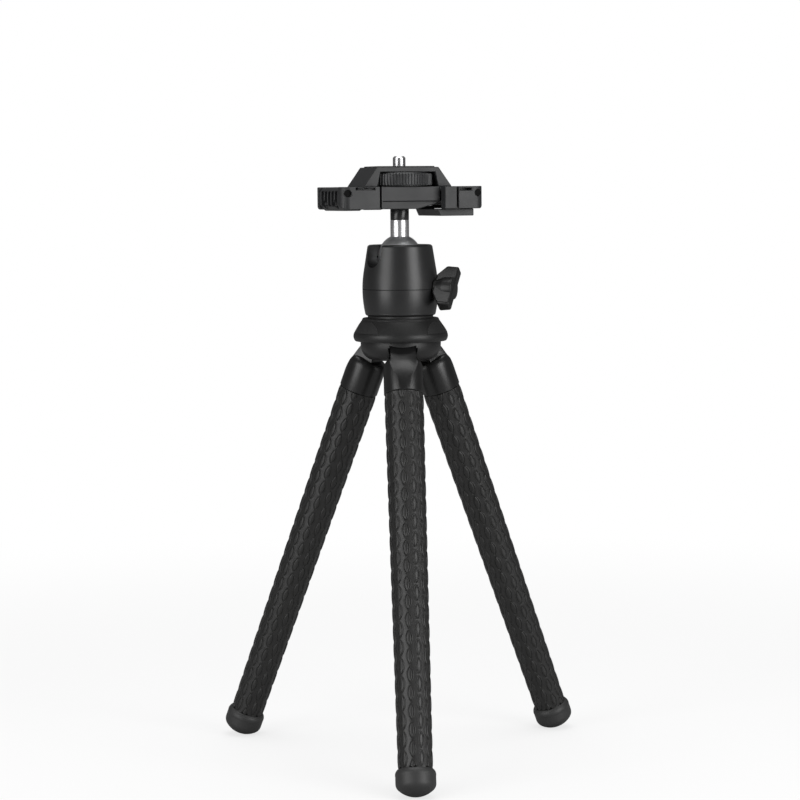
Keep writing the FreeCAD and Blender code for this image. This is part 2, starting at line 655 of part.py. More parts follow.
def ferrule(label):
    """The round metal end of a leg with the tongue that fits a hub slot."""
    body = turned(
        label,
        ("0", "-ferrule_shoulder"),
        ("ferrule_diameter / 2 - ferrule_shoulder_width", "-ferrule_shoulder"),
        (
            "ferrule_diameter / 2", "-ferrule_shoulder - ferrule_shoulder_drop",
            "ferrule_diameter / 2 - ferrule_shoulder_width * mid_arc",
            "-ferrule_shoulder - ferrule_shoulder_drop * mid_arc",
        ),
        ("ferrule_diameter / 2", "-ferrule_end"),
        (core, "-ferrule_end"),
        (core, "core_grip - ferrule_end"),
        ("0", "core_grip - ferrule_end"),
    )
    block_of(
        body,
        [
            ("-tongue_radius", "-ferrule_shoulder - ferrule_shoulder_drop"),
            ("tongue_radius", "-ferrule_shoulder - ferrule_shoulder_drop"),
            ("tongue_radius", "0"),
            ("-tongue_radius", "0", "0", "tongue_radius"),
        ],
        "tongue_width",
        plane="YZ_Plane",
    )
    cylinder_of(
        body, "YZ_Plane", "0", "0", "hinge_pin_diameter / 2 + pin_clearance", "tongue_width + 2 * cut_over",
        kind="Pocket", side="Symmetric",
    )
    return body


def foot(label):
    """The domed rubber foot, which holds the end of the core."""
    wall = "foot_diameter / 2"
    corner_drop = "-(dome_centre + foot_corner_drop"
    return turned(
        label,
        (core, "-foot_start"),
        (f"{wall} - foot_shoulder_width", "-foot_start"),
        (
            wall, "-foot_start - foot_shoulder",
            f"{wall} - foot_shoulder_width * mid_arc", "-foot_start - foot_shoulder * mid_arc",
        ),
        (wall, f"{corner_drop})"),
        (
            "foot_dome_radius * cos(foot_corner_turn)",
            "-(dome_centre + foot_dome_radius * sin(foot_corner_turn))",
            "foot_corner_across + foot_corner_radius * cos(foot_corner_turn / 2)",
            f"{corner_drop} + foot_corner_radius * sin(foot_corner_turn / 2))",
        ),
        (
            "0", "-leg_reach",
            "foot_dome_radius * cos((foot_corner_turn + 90) / 2)",
            "-(dome_centre + foot_dome_radius * sin((foot_corner_turn + 90) / 2))",
        ),
        ("0", "-foot_start - foot_grip"),
        (core, "-foot_start - foot_grip"),
    )


for number, side in enumerate(("front", "right", "left")):
    azimuth = 360 * number / size("leg_count")
    hanging = Placement(Vector(), Rotation(Vector(0, 0, 1), azimuth))
    hanging = hanging * Placement(Vector(0, -size("hinge_radius"), size("hinge_height")), Rotation())
    hanging = hanging * Placement(Vector(), Rotation(Vector(1, 0, 0), -size("leg_splay")))
    node(ferrule(f"{side}_leg_ferrule"), hanging)
    node(sleeve(f"{side}_leg_upper_sleeve", "ferrule_end", "bend_start"), hanging)
    node(core_piece(f"{side}_leg_upper_core", "ferrule_end - core_grip", "bend_start"), hanging)
    node(sleeve(f"{side}_leg_bend_sleeve", "bend_start", "bend_end"), hanging)
    node(core_piece(f"{side}_leg_bend_core", "bend_start", "bend_end"), hanging)
    node(sleeve(f"{side}_leg_lower_sleeve", "bend_end", "foot_start"), hanging)
    node(core_piece(f"{side}_leg_lower_core", "bend_end", "foot_start + foot_grip"), hanging)
    node(foot(f"{side}_foot"), hanging)

# Ball head: housing, seats round the ball, and the pin that locks it


def socket_at(rise):
    """Radius of the ball socket at a height over the ball's centre."""
    return f"sqrt(pow(socket_radius; 2) - pow({rise}; 2))"


def notch(body, turn_by, spare):
    """Cuts the notch that lets the stem drop to one side."""
    half = f"(notch_width / 2 + {spare})"
    block_of(
        body,
        [
            (f"-{half}", "head_top + cut_over"),
            (f"-{half}", "ball_height"),
            (half, "ball_height", "0", f"ball_height - {half}"),
            (half, "head_top + cut_over"),
        ],
        "head_waist_diameter / 2 + cut_over",
        turn=turn_by,
        offset="head_waist_diameter / 2 + cut_over",
        kind="Pocket",
        side="One side",
    )


lip_end = "(ball_below_top - mouth_chamfer)"
plate_top = "(head_bottom + base_plate_thickness)"
housing = turned(
    "head_housing",
    ("base_plate_diameter / 2 + fit_gap", "head_bottom"),
    ("head_foot_diameter / 2 - head_edge_radius", "head_bottom"),
    (
        "head_foot_diameter / 2", "head_bottom + head_edge_radius",
        "head_foot_diameter / 2 - head_edge_radius * mid_arc", "head_bottom + head_edge_radius * mid_arc",
    ),
    (
        "head_shoulder_diameter / 2", "head_bottom + head_shoulder_height",
        "head_waist_diameter / 2", "head_bottom + head_waist_height",
    ),
    ("head_top_diameter / 2", "head_top - head_edge_radius"),
    (
        "head_top_diameter / 2 - head_edge_radius", "head_top",
        "head_top_diameter / 2 - head_edge_radius * mid_arc", "head_top - head_edge_radius * mid_arc",
    ),
    (f"{socket_at(lip_end)} + mouth_chamfer", "head_top"),
    (socket_at(lip_end), "head_top - mouth_chamfer"),
    (
        socket_at("lip_over_ball"), "ball_height + lip_over_ball",
        socket_at(f"(({lip_end} + lip_over_ball) / 2)"), f"ball_height + ({lip_end} + lip_over_ball) / 2",
    ),
    ("seat_bore / 2", "ball_height + lip_over_ball"),
    ("seat_bore / 2", plate_top),
    ("base_plate_diameter / 2 + fit_gap", plate_top),
)
seam = drawing(housing, "XZ_Plane")
box_outline(
    seam,
    "head_waist_diameter / 2 - seam_depth",
    "head_waist_diameter / 2 + seam_depth",
    "head_bottom + seam_height - seam_width / 2",
    "head_bottom + seam_height + seam_width / 2",
)
feature(housing, "Groove", seam)
cylinder_of(
    housing, "XZ_Plane", "0", "knob_axis", "knob_boss_diameter / 2 + 2 * knob_boss_gap",
    "head_waist_diameter / 2", turn="knob_turn", offset="knob_flat_radius + head_waist_diameter / 2",
    kind="Pocket",
)
cylinder_of(
    housing, "XZ_Plane", "0", "knob_axis", "knob_screw_diameter / 2 + screw_clearance",
    "head_waist_diameter / 2", turn="knob_turn", offset="head_waist_diameter / 2 + cut_over",
    kind="Pocket",
)
notch(housing, "notch_turn", "0")
node(housing)

seat_fit = "(seat_bore / 2 - fit_gap)"
seat_ring = turned(
    "ball_seat_ring",
    (socket_at("lip_over_ball"), "ball_height + lip_over_ball"),
    (
        socket_at("ring_over_ball"), "ball_height + ring_over_ball",
        socket_at("((lip_over_ball + ring_over_ball) / 2)"),
        "ball_height + (lip_over_ball + ring_over_ball) / 2",
    ),
    (seat_fit, "ball_height + ring_over_ball"),
    (seat_fit, "ball_height + lip_over_ball"),
)
notch(seat_ring, "notch_turn", "0")
node(seat_ring)

cup_bottom = "(cup_under_ball + cup_height)"
ball_cup = turned(
    "ball_cup",
    (socket_at("cup_under_ball"), "ball_height - cup_under_ball"),
    (
        socket_at(cup_bottom), f"ball_height - {cup_bottom}",
        socket_at(f"(({cup_bottom} + cup_under_ball) / 2)"),
        f"ball_height - ({cup_bottom} + cup_under_ball) / 2",
    ),
    (seat_fit, f"ball_height - {cup_bottom}"),
    (seat_fit, "ball_height - cup_under_ball"),
)
notch(ball_cup, "notch_turn", "0")
node(ball_cup)

push_block = turned(
    "push_block",
    ("0", "ball_height - socket_radius"),
    (
        socket_at(cup_bottom), f"ball_height - {cup_bottom}",
        socket_at(f"(({cup_bottom} + socket_radius) / 2)"),
        f"ball_height - ({cup_bottom} + socket_radius) / 2",
    ),
    (seat_fit, f"ball_height - {cup_bottom}"),
    (seat_fit, f"{plate_top} + push_block_gap"),
    ("0", f"{plate_top} + push_block_gap"),
)
cylinder_of(
    push_block, "XZ_Plane", "0", "knob_axis", "wedge_diameter / 2 + fit_gap",
    "wedge_start + seat_bore / 2 + cut_over + fit_gap", turn="knob_turn",
    offset="seat_bore / 2 + cut_over", kind="Pocket",
)
node(push_block)

base_plate = turned(
    "head_base_plate",
    (hub_bore, "head_bottom"),
    ("base_plate_diameter / 2", "head_bottom"),
    ("base_plate_diameter / 2", plate_top),
    (hub_bore, plate_top),
)
node(base_plate)

# Pieces on the lock knob's axis are drawn with that axis as -Y and placed together
at_knob = Placement(Vector(0, 0, size("knob_axis")), Rotation(Vector(0, 0, 1), size("knob_turn")))
at_wings = at_knob * Placement(Vector(), Rotation(Vector(0, 1, 0), size("knob_wing_angle")))

lock_wedge = add("PartDesign::Body", "lock_wedge")
cylinder_of(
    lock_wedge, "XZ_Plane", "0", "0", "wedge_diameter / 2", "wedge_start + wedge_end", offset="-wedge_start"
)
node(lock_wedge, at_knob)

lock_screw = add("PartDesign::Body", "lock_screw")
boss_start = "(knob_flat_radius + knob_boss_gap)"
wing_start = f"({boss_start} + knob_boss_length)"
cylinder_of(
    lock_screw, "XZ_Plane", "0", "0", "knob_screw_diameter / 2",
    f"{wing_start} + knob_screw_grip - knob_screw_tip", offset="knob_screw_tip",
)
node(lock_screw, at_knob)

knob = add("PartDesign::Body", "lock_knob")
tip = "(knob_wing_span / 2)"
edge = "knob_edge_radius"
outer_edge = "(2 * knob_edge_radius * mid_arc)"
block_of(
    knob,
    [
        (f"-{wing_start}", "-knob_root_span / 2"),
        (f"-{wing_start}", "knob_root_span / 2"),
        ("knob_wing_depth - knob_reach", f"{tip} - {edge}"),
        (
            f"knob_wing_depth - knob_reach - {edge}", tip,
            f"knob_wing_depth - knob_reach - {edge} * mid_arc", f"{tip} - {edge} * mid_arc",
        ),
        (f"2 * {edge} - knob_reach", tip),
        ("-knob_reach", f"{tip} - 2 * {edge}", f"{outer_edge} - knob_reach", f"{tip} - {outer_edge}"),
        ("-knob_reach", f"2 * {edge} - {tip}", "knob_face_dip - knob_reach", "0"),
        (f"2 * {edge} - knob_reach", f"-{tip}", f"{outer_edge} - knob_reach", f"{outer_edge} - {tip}"),
        (f"knob_wing_depth - knob_reach - {edge}", f"-{tip}"),
        (
            "knob_wing_depth - knob_reach", f"{edge} - {tip}",
            f"knob_wing_depth - knob_reach - {edge} * mid_arc", f"{edge} * mid_arc - {tip}",
        ),
    ],
    "knob_wing_width",
    plane="YZ_Plane",
)
cylinder_of(
    knob, "XZ_Plane", "0", "0", "knob_root_width / 2", f"knob_reach - knob_middle_setback - {boss_start}",
    offset=boss_start,
)
cylinder_of(
    knob, "XZ_Plane", "0", "0", "knob_boss_diameter / 2", "knob_boss_length + knob_boss_bite",
    offset=boss_start,
)
cylinder_of(
    knob, "XZ_Plane", "0", "0", "knob_screw_diameter / 2", f"{wing_start} + knob_screw_grip",
    offset=f"{wing_start} + knob_screw_grip", kind="Pocket",
)
node(knob, at_wings)

flat_height = "(ball_height - ball_radius + ball_flat_depth)"
flat_radius = "sqrt(pow(ball_radius; 2) - pow(ball_radius - ball_flat_depth; 2))"
neck = "(stem_diameter / 2)"
ball = turned(
    "ball",
    ("0", flat_height),
    (flat_radius, flat_height),
    (neck, f"ball_height + sqrt(pow(ball_radius; 2) - pow({neck}; 2))", "ball_radius", "ball_height"),
    (neck, "ball_height + stem_root"),
    ("0", "ball_height + stem_root"),
)
node(ball)

stem = turned(
    "stem",
    ("0", "ball_height + stem_root"),
    (neck, "ball_height + stem_root"),
    (neck, "collar_bottom"),
    ("stem_rod_diameter / 2", "collar_bottom"),
    ("stem_rod_diameter / 2", "clamp_bottom + stem_rod_length"),
    ("0", "clamp_bottom + stem_rod_length"),
)
node(stem)

# Clamp: drawn with its long side along X, then turned about the stem
at_clamp = Placement(Vector(), Rotation(Vector(0, 0, 1), size("clamp_turn")))
at_other_end = Placement(Vector(), Rotation(Vector(0, 0, 1), size("clamp_turn") + 180))

clamp_base = add("PartDesign::Body", "clamp_base")
lower_half = "(base_half_length - band_step)"
band_bottom = "(clamp_top - band_height)"
wing_top = "(clamp_bottom + wing_neck)"
foot_bottom = "(clamp_bottom - wing_foot_drop)"
wing_face = "(arm_pin_offset - boss_radius)"
boss_end = "(arm_pin_offset + boss_radius)"
block_of(
    clamp_base,
    [
        (f"-{lower_half}", band_bottom),
        (f"-{lower_half}", "clamp_bottom"),
        ("base_taper_start", "clamp_bottom"),
        (lower_half, "clamp_bottom + base_taper_rise"),
        (lower_half, band_bottom),
    ],
    "base_depth - 2 * band_step",
)
block_of(
    clamp_base,
    [
        ("-base_half_length", band_bottom),
        ("base_half_length", band_bottom),
        ("base_half_length", "clamp_top"),
        ("-base_half_length", "clamp_top"),
    ],
    "base_depth",
)
block_of(
    clamp_base,
    [
        ("-ledge_end", "clamp_top - flange_thickness"),
        ("ledge_end", "clamp_top - flange_thickness"),
        ("ledge_end", "clamp_top"),
        ("-ledge_end", "clamp_top"),
    ],
    "block_depth",
)
block_of(
    clamp_base,
    [
        (f"-{lower_half} + cut_over", wing_top),
        (f"-{wing_face}", wing_top),
        (f"-{wing_face}", "arm_pin_height"),
        (f"-{boss_end}", "arm_pin_height", "-arm_pin_offset", "arm_pin_height + boss_radius"),
        (f"-{boss_end}", "clamp_bottom + arm_end_radius"),
        ("-wing_foot_end", foot_bottom),
        ("-wing_foot_start", foot_bottom),
        ("-wing_foot_start + wing_foot_drop", "clamp_bottom"),
        (f"-{lower_half} + cut_over", "clamp_bottom"),
    ],
    "base_depth",
)
cylinder_of(
    clamp_base, "XY_Plane", "0", "0", "stem_rod_diameter / 2 + screw_clearance",
    "stem_rod_length + face_gap + cut_over", offset="clamp_bottom + stem_rod_length + face_gap",
    kind="Pocket",
)
cylinder_of(
    clamp_base, "XY_Plane", "0", "0", "camera_screw_neck / 2 + screw_clearance",
    "camera_screw_root + face_gap", offset="clamp_top", kind="Pocket",
)
cylinder_of(
    clamp_base, "XZ_Plane", "-arm_pin_offset", "arm_pin_height", "arm_pin_diameter / 2",
    "base_depth + 2 * cut_over", kind="Pocket", side="Symmetric",
)
for side in ("", "-"):
    row = f"{side}rod_spacing / 2"
    cylinder_of(
        clamp_base, "YZ_Plane", row, "rod_height", "spring_bore / 2", "clamp_half_length + spring_seat",
        offset="spring_seat", kind="Pocket",
    )
    cylinder_of(
        clamp_base, "YZ_Plane", row, "rod_height", "rod_diameter / 2 + rod_clearance",
        "base_half_length", offset="spring_seat + base_half_length", kind="Pocket",
    )
    for end in ("", "-"):
        cylinder_of(
            clamp_base, "XY_Plane", f"{end}block_screw_offset", f"{side}block_screw_spacing / 2",
            "block_screw_diameter / 2 + screw_clearance", "flange_thickness + 2 * cut_over",
            offset="clamp_top + cut_over", kind="Pocket",
        )
node(clamp_base, at_clamp)

collar = turned(
    "collar",
    ("stem_rod_diameter / 2 + screw_clearance", "collar_bottom + face_gap"),
    ("collar_diameter / 2", "collar_bottom + face_gap"),
    ("collar_diameter / 2", "clamp_bottom"),
    ("stem_rod_diameter / 2 + screw_clearance", "clamp_bottom"),
)
node(collar, at_clamp)

camera_block = add("PartDesign::Body", "camera_block")
block_of(
    camera_block,
    [
        ("-block_foot_width / 2", "clamp_top"),
        ("block_foot_width / 2", "clamp_top"),
        ("block_top_width / 2", "block_top"),
        ("-block_top_width / 2", "block_top"),
    ],
    "block_depth",
)
block_of(
    camera_block,
    [
        ("-window_foot_width / 2", "clamp_top"),
        ("window_foot_width / 2", "clamp_top"),
        ("window_top_width / 2", "clamp_top + window_height"),
        ("-window_top_width / 2", "clamp_top + window_height"),
    ],
    "block_depth + 2 * cut_over",
    kind="Pocket",
)
cylinder_of(
    camera_block, "XY_Plane", "0", "0", "wheel_diameter / 2 + turn_gap", "window_height + cut_over",
    offset="clamp_top + window_height", kind="Pocket",
)
cylinder_of(
    camera_block, "XY_Plane", "0", "0", "camera_screw_neck / 2 + screw_clearance",
    "block_height", offset="block_top + cut_over", kind="Pocket",
)
pad_seat = drawing(camera_block, "XY_Plane", offset="block_top + cut_over")
pad_half_length = "(block_top_width / 2 - pad_margin)"
pad_half_depth = "(block_depth / 2 - pad_margin)"
box_outline(pad_seat, f"-{pad_half_length}", pad_half_length, f"-{pad_half_depth}", pad_half_depth)
feature(camera_block, "Pocket", pad_seat, Length="cut_over + pad_thickness - pad_proud")
for side in ("", "-"):
    for end in ("", "-"):
        cylinder_of(
            camera_block, "XY_Plane", f"{end}block_screw_offset", f"{side}block_screw_spacing / 2",
            "block_screw_diameter / 2 + screw_clearance", "block_screw_bite + fit_gap + cut_over",
            offset="clamp_top + block_screw_bite + fit_gap", kind="Pocket",
        )
node(camera_block, at_clamp)

platform_pad = add("PartDesign::Body", "platform_pad")
pad_plan = drawing(platform_pad, "XY_Plane", offset="pad_top - pad_thickness")
box_outline(pad_plan, f"-{pad_half_length}", pad_half_length, f"-{pad_half_depth}", pad_half_depth)
feature(platform_pad, "Pad", pad_plan, Length="pad_thickness")
cylinder_of(
    platform_pad, "XY_Plane", "0", "0", "camera_screw_diameter / 2 + turn_gap",
    "pad_thickness + 2 * cut_over", offset="pad_top + cut_over", kind="Pocket",
)
node(platform_pad, at_clamp)

block_screws = add("PartDesign::Body", "block_screws")
flange_bottom = "(clamp_top - flange_thickness)"
for side in ("", "-"):
    for end in ("", "-"):
        place = (f"{end}block_screw_offset", f"{side}block_screw_spacing / 2")
        cylinder_of(
            block_screws, "XY_Plane", *place, "block_screw_head_diameter / 2", "block_screw_head_height",
            offset=f"{flange_bottom} - block_screw_head_height",
        )
        cylinder_of(
            block_screws, "XY_Plane", *place, "block_screw_diameter / 2",
            "flange_thickness + block_screw_bite", offset=flange_bottom,
        )
node(block_screws, at_clamp)

# Thumb wheel with its camera screw
camera_wheel = turned(
    "camera_wheel",
    ("camera_screw_neck / 2", "wheel_bottom"),
    ("wheel_diameter / 2 - wheel_tooth_depth", "wheel_bottom"),
    ("wheel_diameter / 2", "wheel_bottom + wheel_tooth_depth"),
    ("wheel_diameter / 2", "wheel_bottom + wheel_thickness - wheel_tooth_depth"),
    ("wheel_diameter / 2 - wheel_tooth_depth", "wheel_bottom + wheel_thickness"),
    ("camera_screw_neck / 2", "wheel_bottom + wheel_thickness"),
)
groove = drawing(camera_wheel, "XY_Plane", offset="wheel_bottom + wheel_thickness + cut_over")
outline(
    groove,
    ("0", "wheel_tooth_depth - wheel_diameter / 2"),
    ("-wheel_groove_width", "-wheel_tooth_depth - wheel_diameter / 2"),
    ("wheel_groove_width", "-wheel_tooth_depth - wheel_diameter / 2"),
)
first_groove = feature(camera_wheel, "Pocket", groove, Length="wheel_thickness + 2 * cut_over")
around(camera_wheel, first_groove)
bind(camera_wheel.Tip, Occurrences="wheel_teeth")
node(camera_wheel, at_clamp)

camera_screw = turned(
    "camera_screw",
    ("0", "clamp_top - camera_screw_root"),
    ("camera_screw_neck / 2", "clamp_top - camera_screw_root"),
    ("camera_screw_neck / 2", "pad_top"),
    ("camera_screw_diameter / 2", "pad_top"),
    ("camera_screw_diameter / 2", "pad_top + camera_screw_reach - screw_tip"),
    ("camera_screw_diameter / 2 - screw_tip", "pad_top + camera_screw_reach"),
    ("0", "pad_top + camera_screw_reach"),
)
node(camera_screw, at_clamp)

# Sliding jaw under the right arm
jaw_carriage = add("PartDesign::Body", "jaw_carriage")
plate_bottom = "(clamp_bottom - jaw_plate_drop)"
jaw_plate_top = f"({plate_bottom} + jaw_plate_thickness)"
block_of(
    jaw_carriage,
    [
        ("jaw_plate_start + jaw_plate_slant", plate_bottom),
        ("jaw_plate_end", plate_bottom),
        ("jaw_plate_end", jaw_plate_top),
        ("jaw_plate_start", jaw_plate_top),
    ],
    "jaw_plate_depth",
)
block_of(
    jaw_carriage,
    [
        (wing_face, jaw_plate_top),
        ("jaw_plate_end", jaw_plate_top),
        (boss_end, "clamp_bottom + arm_end_radius"),
        (boss_end, "arm_pin_height"),
        (wing_face, "arm_pin_height", "arm_pin_offset", "arm_pin_height + boss_radius"),
    ],
    "base_depth",
)
cylinder_of(
    jaw_carriage, "XZ_Plane", "arm_pin_offset", "arm_pin_height", "arm_pin_diameter / 2",
    "base_depth + 2 * cut_over", kind="Pocket", side="Symmetric",
)
guide_rods = add("PartDesign::Body", "guide_rods")
jaw_springs = add("PartDesign::Body", "jaw_springs")
rod_end = "(arm_pin_offset + boss_radius / 2)"
for side in ("", "-"):
    row = f"{side}rod_spacing / 2"
    cylinder_of(
        jaw_carriage, "YZ_Plane", row, "rod_height", "rod_diameter / 2", "2 * boss_radius",
        offset=rod_end, kind="Pocket",
    )
    cylinder_of(
        guide_rods, "YZ_Plane", row, "rod_height", "rod_diameter / 2", f"rod_start + {rod_end}",
        offset="-rod_start",
    )
    cylinder_of(
        guide_rods, "YZ_Plane", row, "rod_height", "spring_diameter / 2", "rod_head_length",
        offset="-rod_start",
    )
    coil = drawing(jaw_springs, "YZ_Plane", offset="rod_head_length - rod_start")
    circle(coil, row, "rod_height", "spring_diameter / 2")
    circle(coil, row, "rod_height", "spring_diameter / 2 - spring_wire")
    feature(jaw_springs, "Pad", coil, Length="rod_start - rod_head_length + spring_seat")
node(jaw_carriage, at_clamp)
node(guide_rods, at_clamp)
node(jaw_springs, at_clamp)


def arm(label):
    """One folding arm of the clamp: two cheeks joined by a web."""
    body = add("PartDesign::Body", label)
    block_of(
        body,
        [
            ("arm_inner_end", "clamp_bottom"),
            ("clamp_half_length - arm_end_radius", "clamp_bottom"),
            (
                "clamp_half_length", "clamp_bottom + arm_end_radius",
                "clamp_half_length - arm_end_radius * mid_arc", "clamp_bottom + arm_end_radius * mid_arc",
            ),
            ("clamp_half_length", "clamp_top"),
            ("arm_inner_end", "clamp_top"),
        ],
        "clamp_depth",
    )
    web_bottom = "(clamp_top - web_height)"
    block_of(
        body,
        [
            ("arm_inner_end - cut_over", "clamp_bottom - cut_over"),
            ("clamp_half_length + cut_over", "clamp_bottom - cut_over"),
            ("clamp_half_length + cut_over", "clamp_top + cut_over"),
            ("web_end", "clamp_top + cut_over"),
            ("web_end", web_bottom),
            ("web_start", web_bottom),
            ("web_start", "clamp_top + cut_over"),
            ("arm_inner_end - cut_over", "clamp_top + cut_over"),
        ],
        "2 * cheek_inner",
        kind="Pocket",
    )
    corner_x = "(clamp_half_length - arm_corner_radius)"
    corner_y = "(clamp_depth / 2 - arm_corner_radius)"
    for side in ("", "-"):
        block_of(
            body,
            [
                ("clamp_half_length", f"{side}{corner_y}"),
                (
                    corner_x, f"{side}clamp_depth / 2",
                    f"{corner_x} + arm_corner_radius * cos(45)",
                    f"{side}({corner_y} + arm_corner_radius * sin(45))",
                ),
                (corner_x, f"{side}(clamp_depth / 2 + cut_over)"),
                ("clamp_half_length + cut_over", f"{side}(clamp_depth / 2 + cut_over)"),
                ("clamp_half_length + cut_over", f"{side}{corner_y}"),
            ],
            "clamp_height + 2 * cut_over",
            plane="XY_Plane",
            offset="clamp_top + cut_over",
            kind="Pocket",
            side="One side",
        )
        recess = drawing(body, "XY_Plane", offset="clamp_top + cut_over")
        box_outline(
            recess, "arm_recess_end", "arm_recess_start",
            f"{side}cheek_inner", f"{side}(cheek_inner + arm_recess_width)",
        )
        feature(body, "Pocket", recess, Length="cut_over + arm_recess_depth")
        seat = drawing(body, "XY_Plane", offset="clamp_bottom + jaw_pad_thickness - jaw_pad_proud")
        jaw_pad_outline(seat, side)
        feature(body, "Pocket", seat, Length="clamp_height")
    cylinder_of(
        body, "XZ_Plane", "arm_pin_offset", "arm_pin_height", "arm_pin_diameter / 2 + pin_clearance",
        "clamp_depth + 2 * cut_over", kind="Pocket", side="Symmetric",
    )
    return body


def jaw_pad_outline(sketch, side):
    """Plan of the rubber grip under one cheek."""
    box_outline(
        sketch,
        "arm_inner_end + jaw_pad_margin / 2",
        "arm_inner_end + jaw_pad_margin / 2 + jaw_pad_length",
        f"{side}(cheek_inner + jaw_pad_margin)",
        f"{side}(clamp_depth / 2 - jaw_pad_margin)",
    )


def arm_pads(label):
    """The two rubber grips of an arm."""
    body = add("PartDesign::Body", label)
    for side in ("", "-"):
        plan = drawing(body, "XY_Plane", offset="clamp_bottom - jaw_pad_proud")
        jaw_pad_outline(plan, side)
        feature(body, "Pad", plan, Length="jaw_pad_thickness")
    return body


def arm_pin(label):
    """The hinge pin of an arm."""
    body = add("PartDesign::Body", label)
    cylinder_of(
        body, "XZ_Plane", "arm_pin_offset", "arm_pin_height", "arm_pin_diameter / 2",
        "clamp_depth - 2 * arm_pin_recess", side="Symmetric",
    )
    return body


for name, place in (("fixed", at_other_end), ("sliding", at_clamp)):
    node(arm(f"{name}_arm"), place)
    node(arm_pads(f"{name}_arm_pads"), place)
    node(arm_pin(f"{name}_arm_pin"), place)

doc.recompute()
failed = [thing.Name for thing in doc.Objects if "Invalid" in thing.State or "Error" in thing.State]
if failed:
    raise RuntimeError(f"objects that failed to build: {failed}")
for piece in nodes:
    if piece.Shape.isNull() or not piece.Shape.isValid() or not piece.Shape.Solids:
        raise RuntimeError(f"sub-part without a sound shape: {piece.Label}")

os.makedirs("parts", exist_ok=True)
for piece in nodes:
    piece.Shape.exportStep(os.path.join("parts", f"{piece.Label}.step"))
print(f"{len(nodes)} sub-parts written")
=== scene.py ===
import json
import math

import bpy
from mathutils import Matrix, Vector


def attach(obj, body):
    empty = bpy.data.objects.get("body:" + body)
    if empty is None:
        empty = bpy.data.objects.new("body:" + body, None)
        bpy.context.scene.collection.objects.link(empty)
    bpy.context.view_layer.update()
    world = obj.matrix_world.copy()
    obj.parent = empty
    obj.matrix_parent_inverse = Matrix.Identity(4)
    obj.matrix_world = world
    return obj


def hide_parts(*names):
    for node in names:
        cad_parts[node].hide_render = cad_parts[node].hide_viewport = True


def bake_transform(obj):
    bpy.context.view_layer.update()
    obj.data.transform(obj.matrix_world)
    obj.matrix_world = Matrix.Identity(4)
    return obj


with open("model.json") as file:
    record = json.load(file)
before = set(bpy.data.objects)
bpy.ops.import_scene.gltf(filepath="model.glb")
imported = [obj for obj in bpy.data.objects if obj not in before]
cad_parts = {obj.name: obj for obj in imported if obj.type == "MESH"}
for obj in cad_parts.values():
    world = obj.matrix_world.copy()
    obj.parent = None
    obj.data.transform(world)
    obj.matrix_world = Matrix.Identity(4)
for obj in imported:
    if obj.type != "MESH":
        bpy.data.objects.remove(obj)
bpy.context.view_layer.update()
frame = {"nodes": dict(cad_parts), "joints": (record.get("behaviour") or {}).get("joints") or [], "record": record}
nodes = frame["nodes"]
scene = bpy.context.scene
scene.view_settings.view_transform = "Standard"


def deselectAll():
    bpy.ops.object.select_all(action="DESELECT")


def makeActive(piece):
    deselectAll()
    piece.select_set(True)
    bpy.context.view_layer.objects.active = piece


def startEdit(piece, kind="VERT"):
    makeActive(piece)
    bpy.ops.object.mode_set(mode="EDIT")
    bpy.ops.mesh.select_mode(type=kind)
    bpy.ops.mesh.select_all(action="DESELECT")


def endEdit():
    bpy.ops.object.mode_set(mode="OBJECT")


# selects the vertices, edges or faces whose place passes the test, in edit mode
def selectWhere(piece, kind, test):
    bpy.ops.mesh.select_mode(type=kind)
    bpy.ops.mesh.select_all(action="DESELECT")
    bpy.ops.object.mode_set(mode="OBJECT")
    mesh = piece.data
    if kind == "VERT":
        for vertex in mesh.vertices:
            vertex.select = test(vertex.co)
    elif kind == "EDGE":
        for edge in mesh.edges:
            middle = (mesh.vertices[edge.vertices[0]].co + mesh.vertices[edge.vertices[1]].co) / 2
            edge.select = test(middle)
    else:
        for face in mesh.polygons:
            face.select = test(face.center)
    bpy.ops.object.mode_set(mode="EDIT")


def addModifier(piece, kind, **settings):
    modifier = piece.modifiers.new(kind.title(), kind)
    for name, value in settings.items():
        setattr(modifier, name, value)
    return modifier


def applyModifier(piece, kind, **settings):
    modifier = addModifier(piece, kind, **settings)
    makeActive(piece)
    bpy.ops.object.modifier_apply(modifier=modifier.name)


def applyPlace(piece):
    makeActive(piece)
    bpy.ops.object.transform_apply(location=True, rotation=True, scale=True)


def finishMesh(piece, angle=35):
    applyPlace(piece)
    startEdit(piece)
    bpy.ops.mesh.select_all(action="SELECT")
    bpy.ops.mesh.remove_doubles(threshold=1e-6)
    bpy.ops.mesh.normals_make_consistent(inside=False)
    endEdit()
    bpy.ops.object.shade_smooth_by_angle(angle=math.radians(angle))


def useMaterial(piece, material):
    piece.data.materials.clear()
    piece.data.materials.append(material)


# the photograph's camera, fitted to the legs and feet
camera = {
    "distance": 1.1995,
    "azimuth": -3.19,
    "height": 0.2857,
    "pitch": -5.0,
    "roll": -0.51,
    "focalPixels": 2376,
    "framePixels": 800,
    "shiftPixels": -1.25,
    "sensorWidth": 36,
}
azimuth = math.radians(camera["azimuth"])
bpy.ops.object.camera_add(
    location=(
        camera["distance"] * math.sin(azimuth),
        -camera["distance"] * math.cos(azimuth),
        camera["height"],
    )
)
shot = bpy.context.object
shot.name = "photoCamera"
turn = Matrix.Rotation(azimuth, 4, "Z") @ Matrix.Rotation(math.radians(90 + camera["pitch"]), 4, "X")
turn = turn @ Matrix.Rotation(math.radians(camera["roll"]), 4, "Z")
shot.rotation_euler = turn.to_euler()
shot.data.sensor_width = camera["sensorWidth"]
shot.data.lens = camera["focalPixels"] / camera["framePixels"] * camera["sensorWidth"]
shot.data.shift_x = camera["shiftPixels"] / camera["framePixels"]
shot.data.clip_start = 0.05
shot.data.clip_end = 50
scene.camera = shot
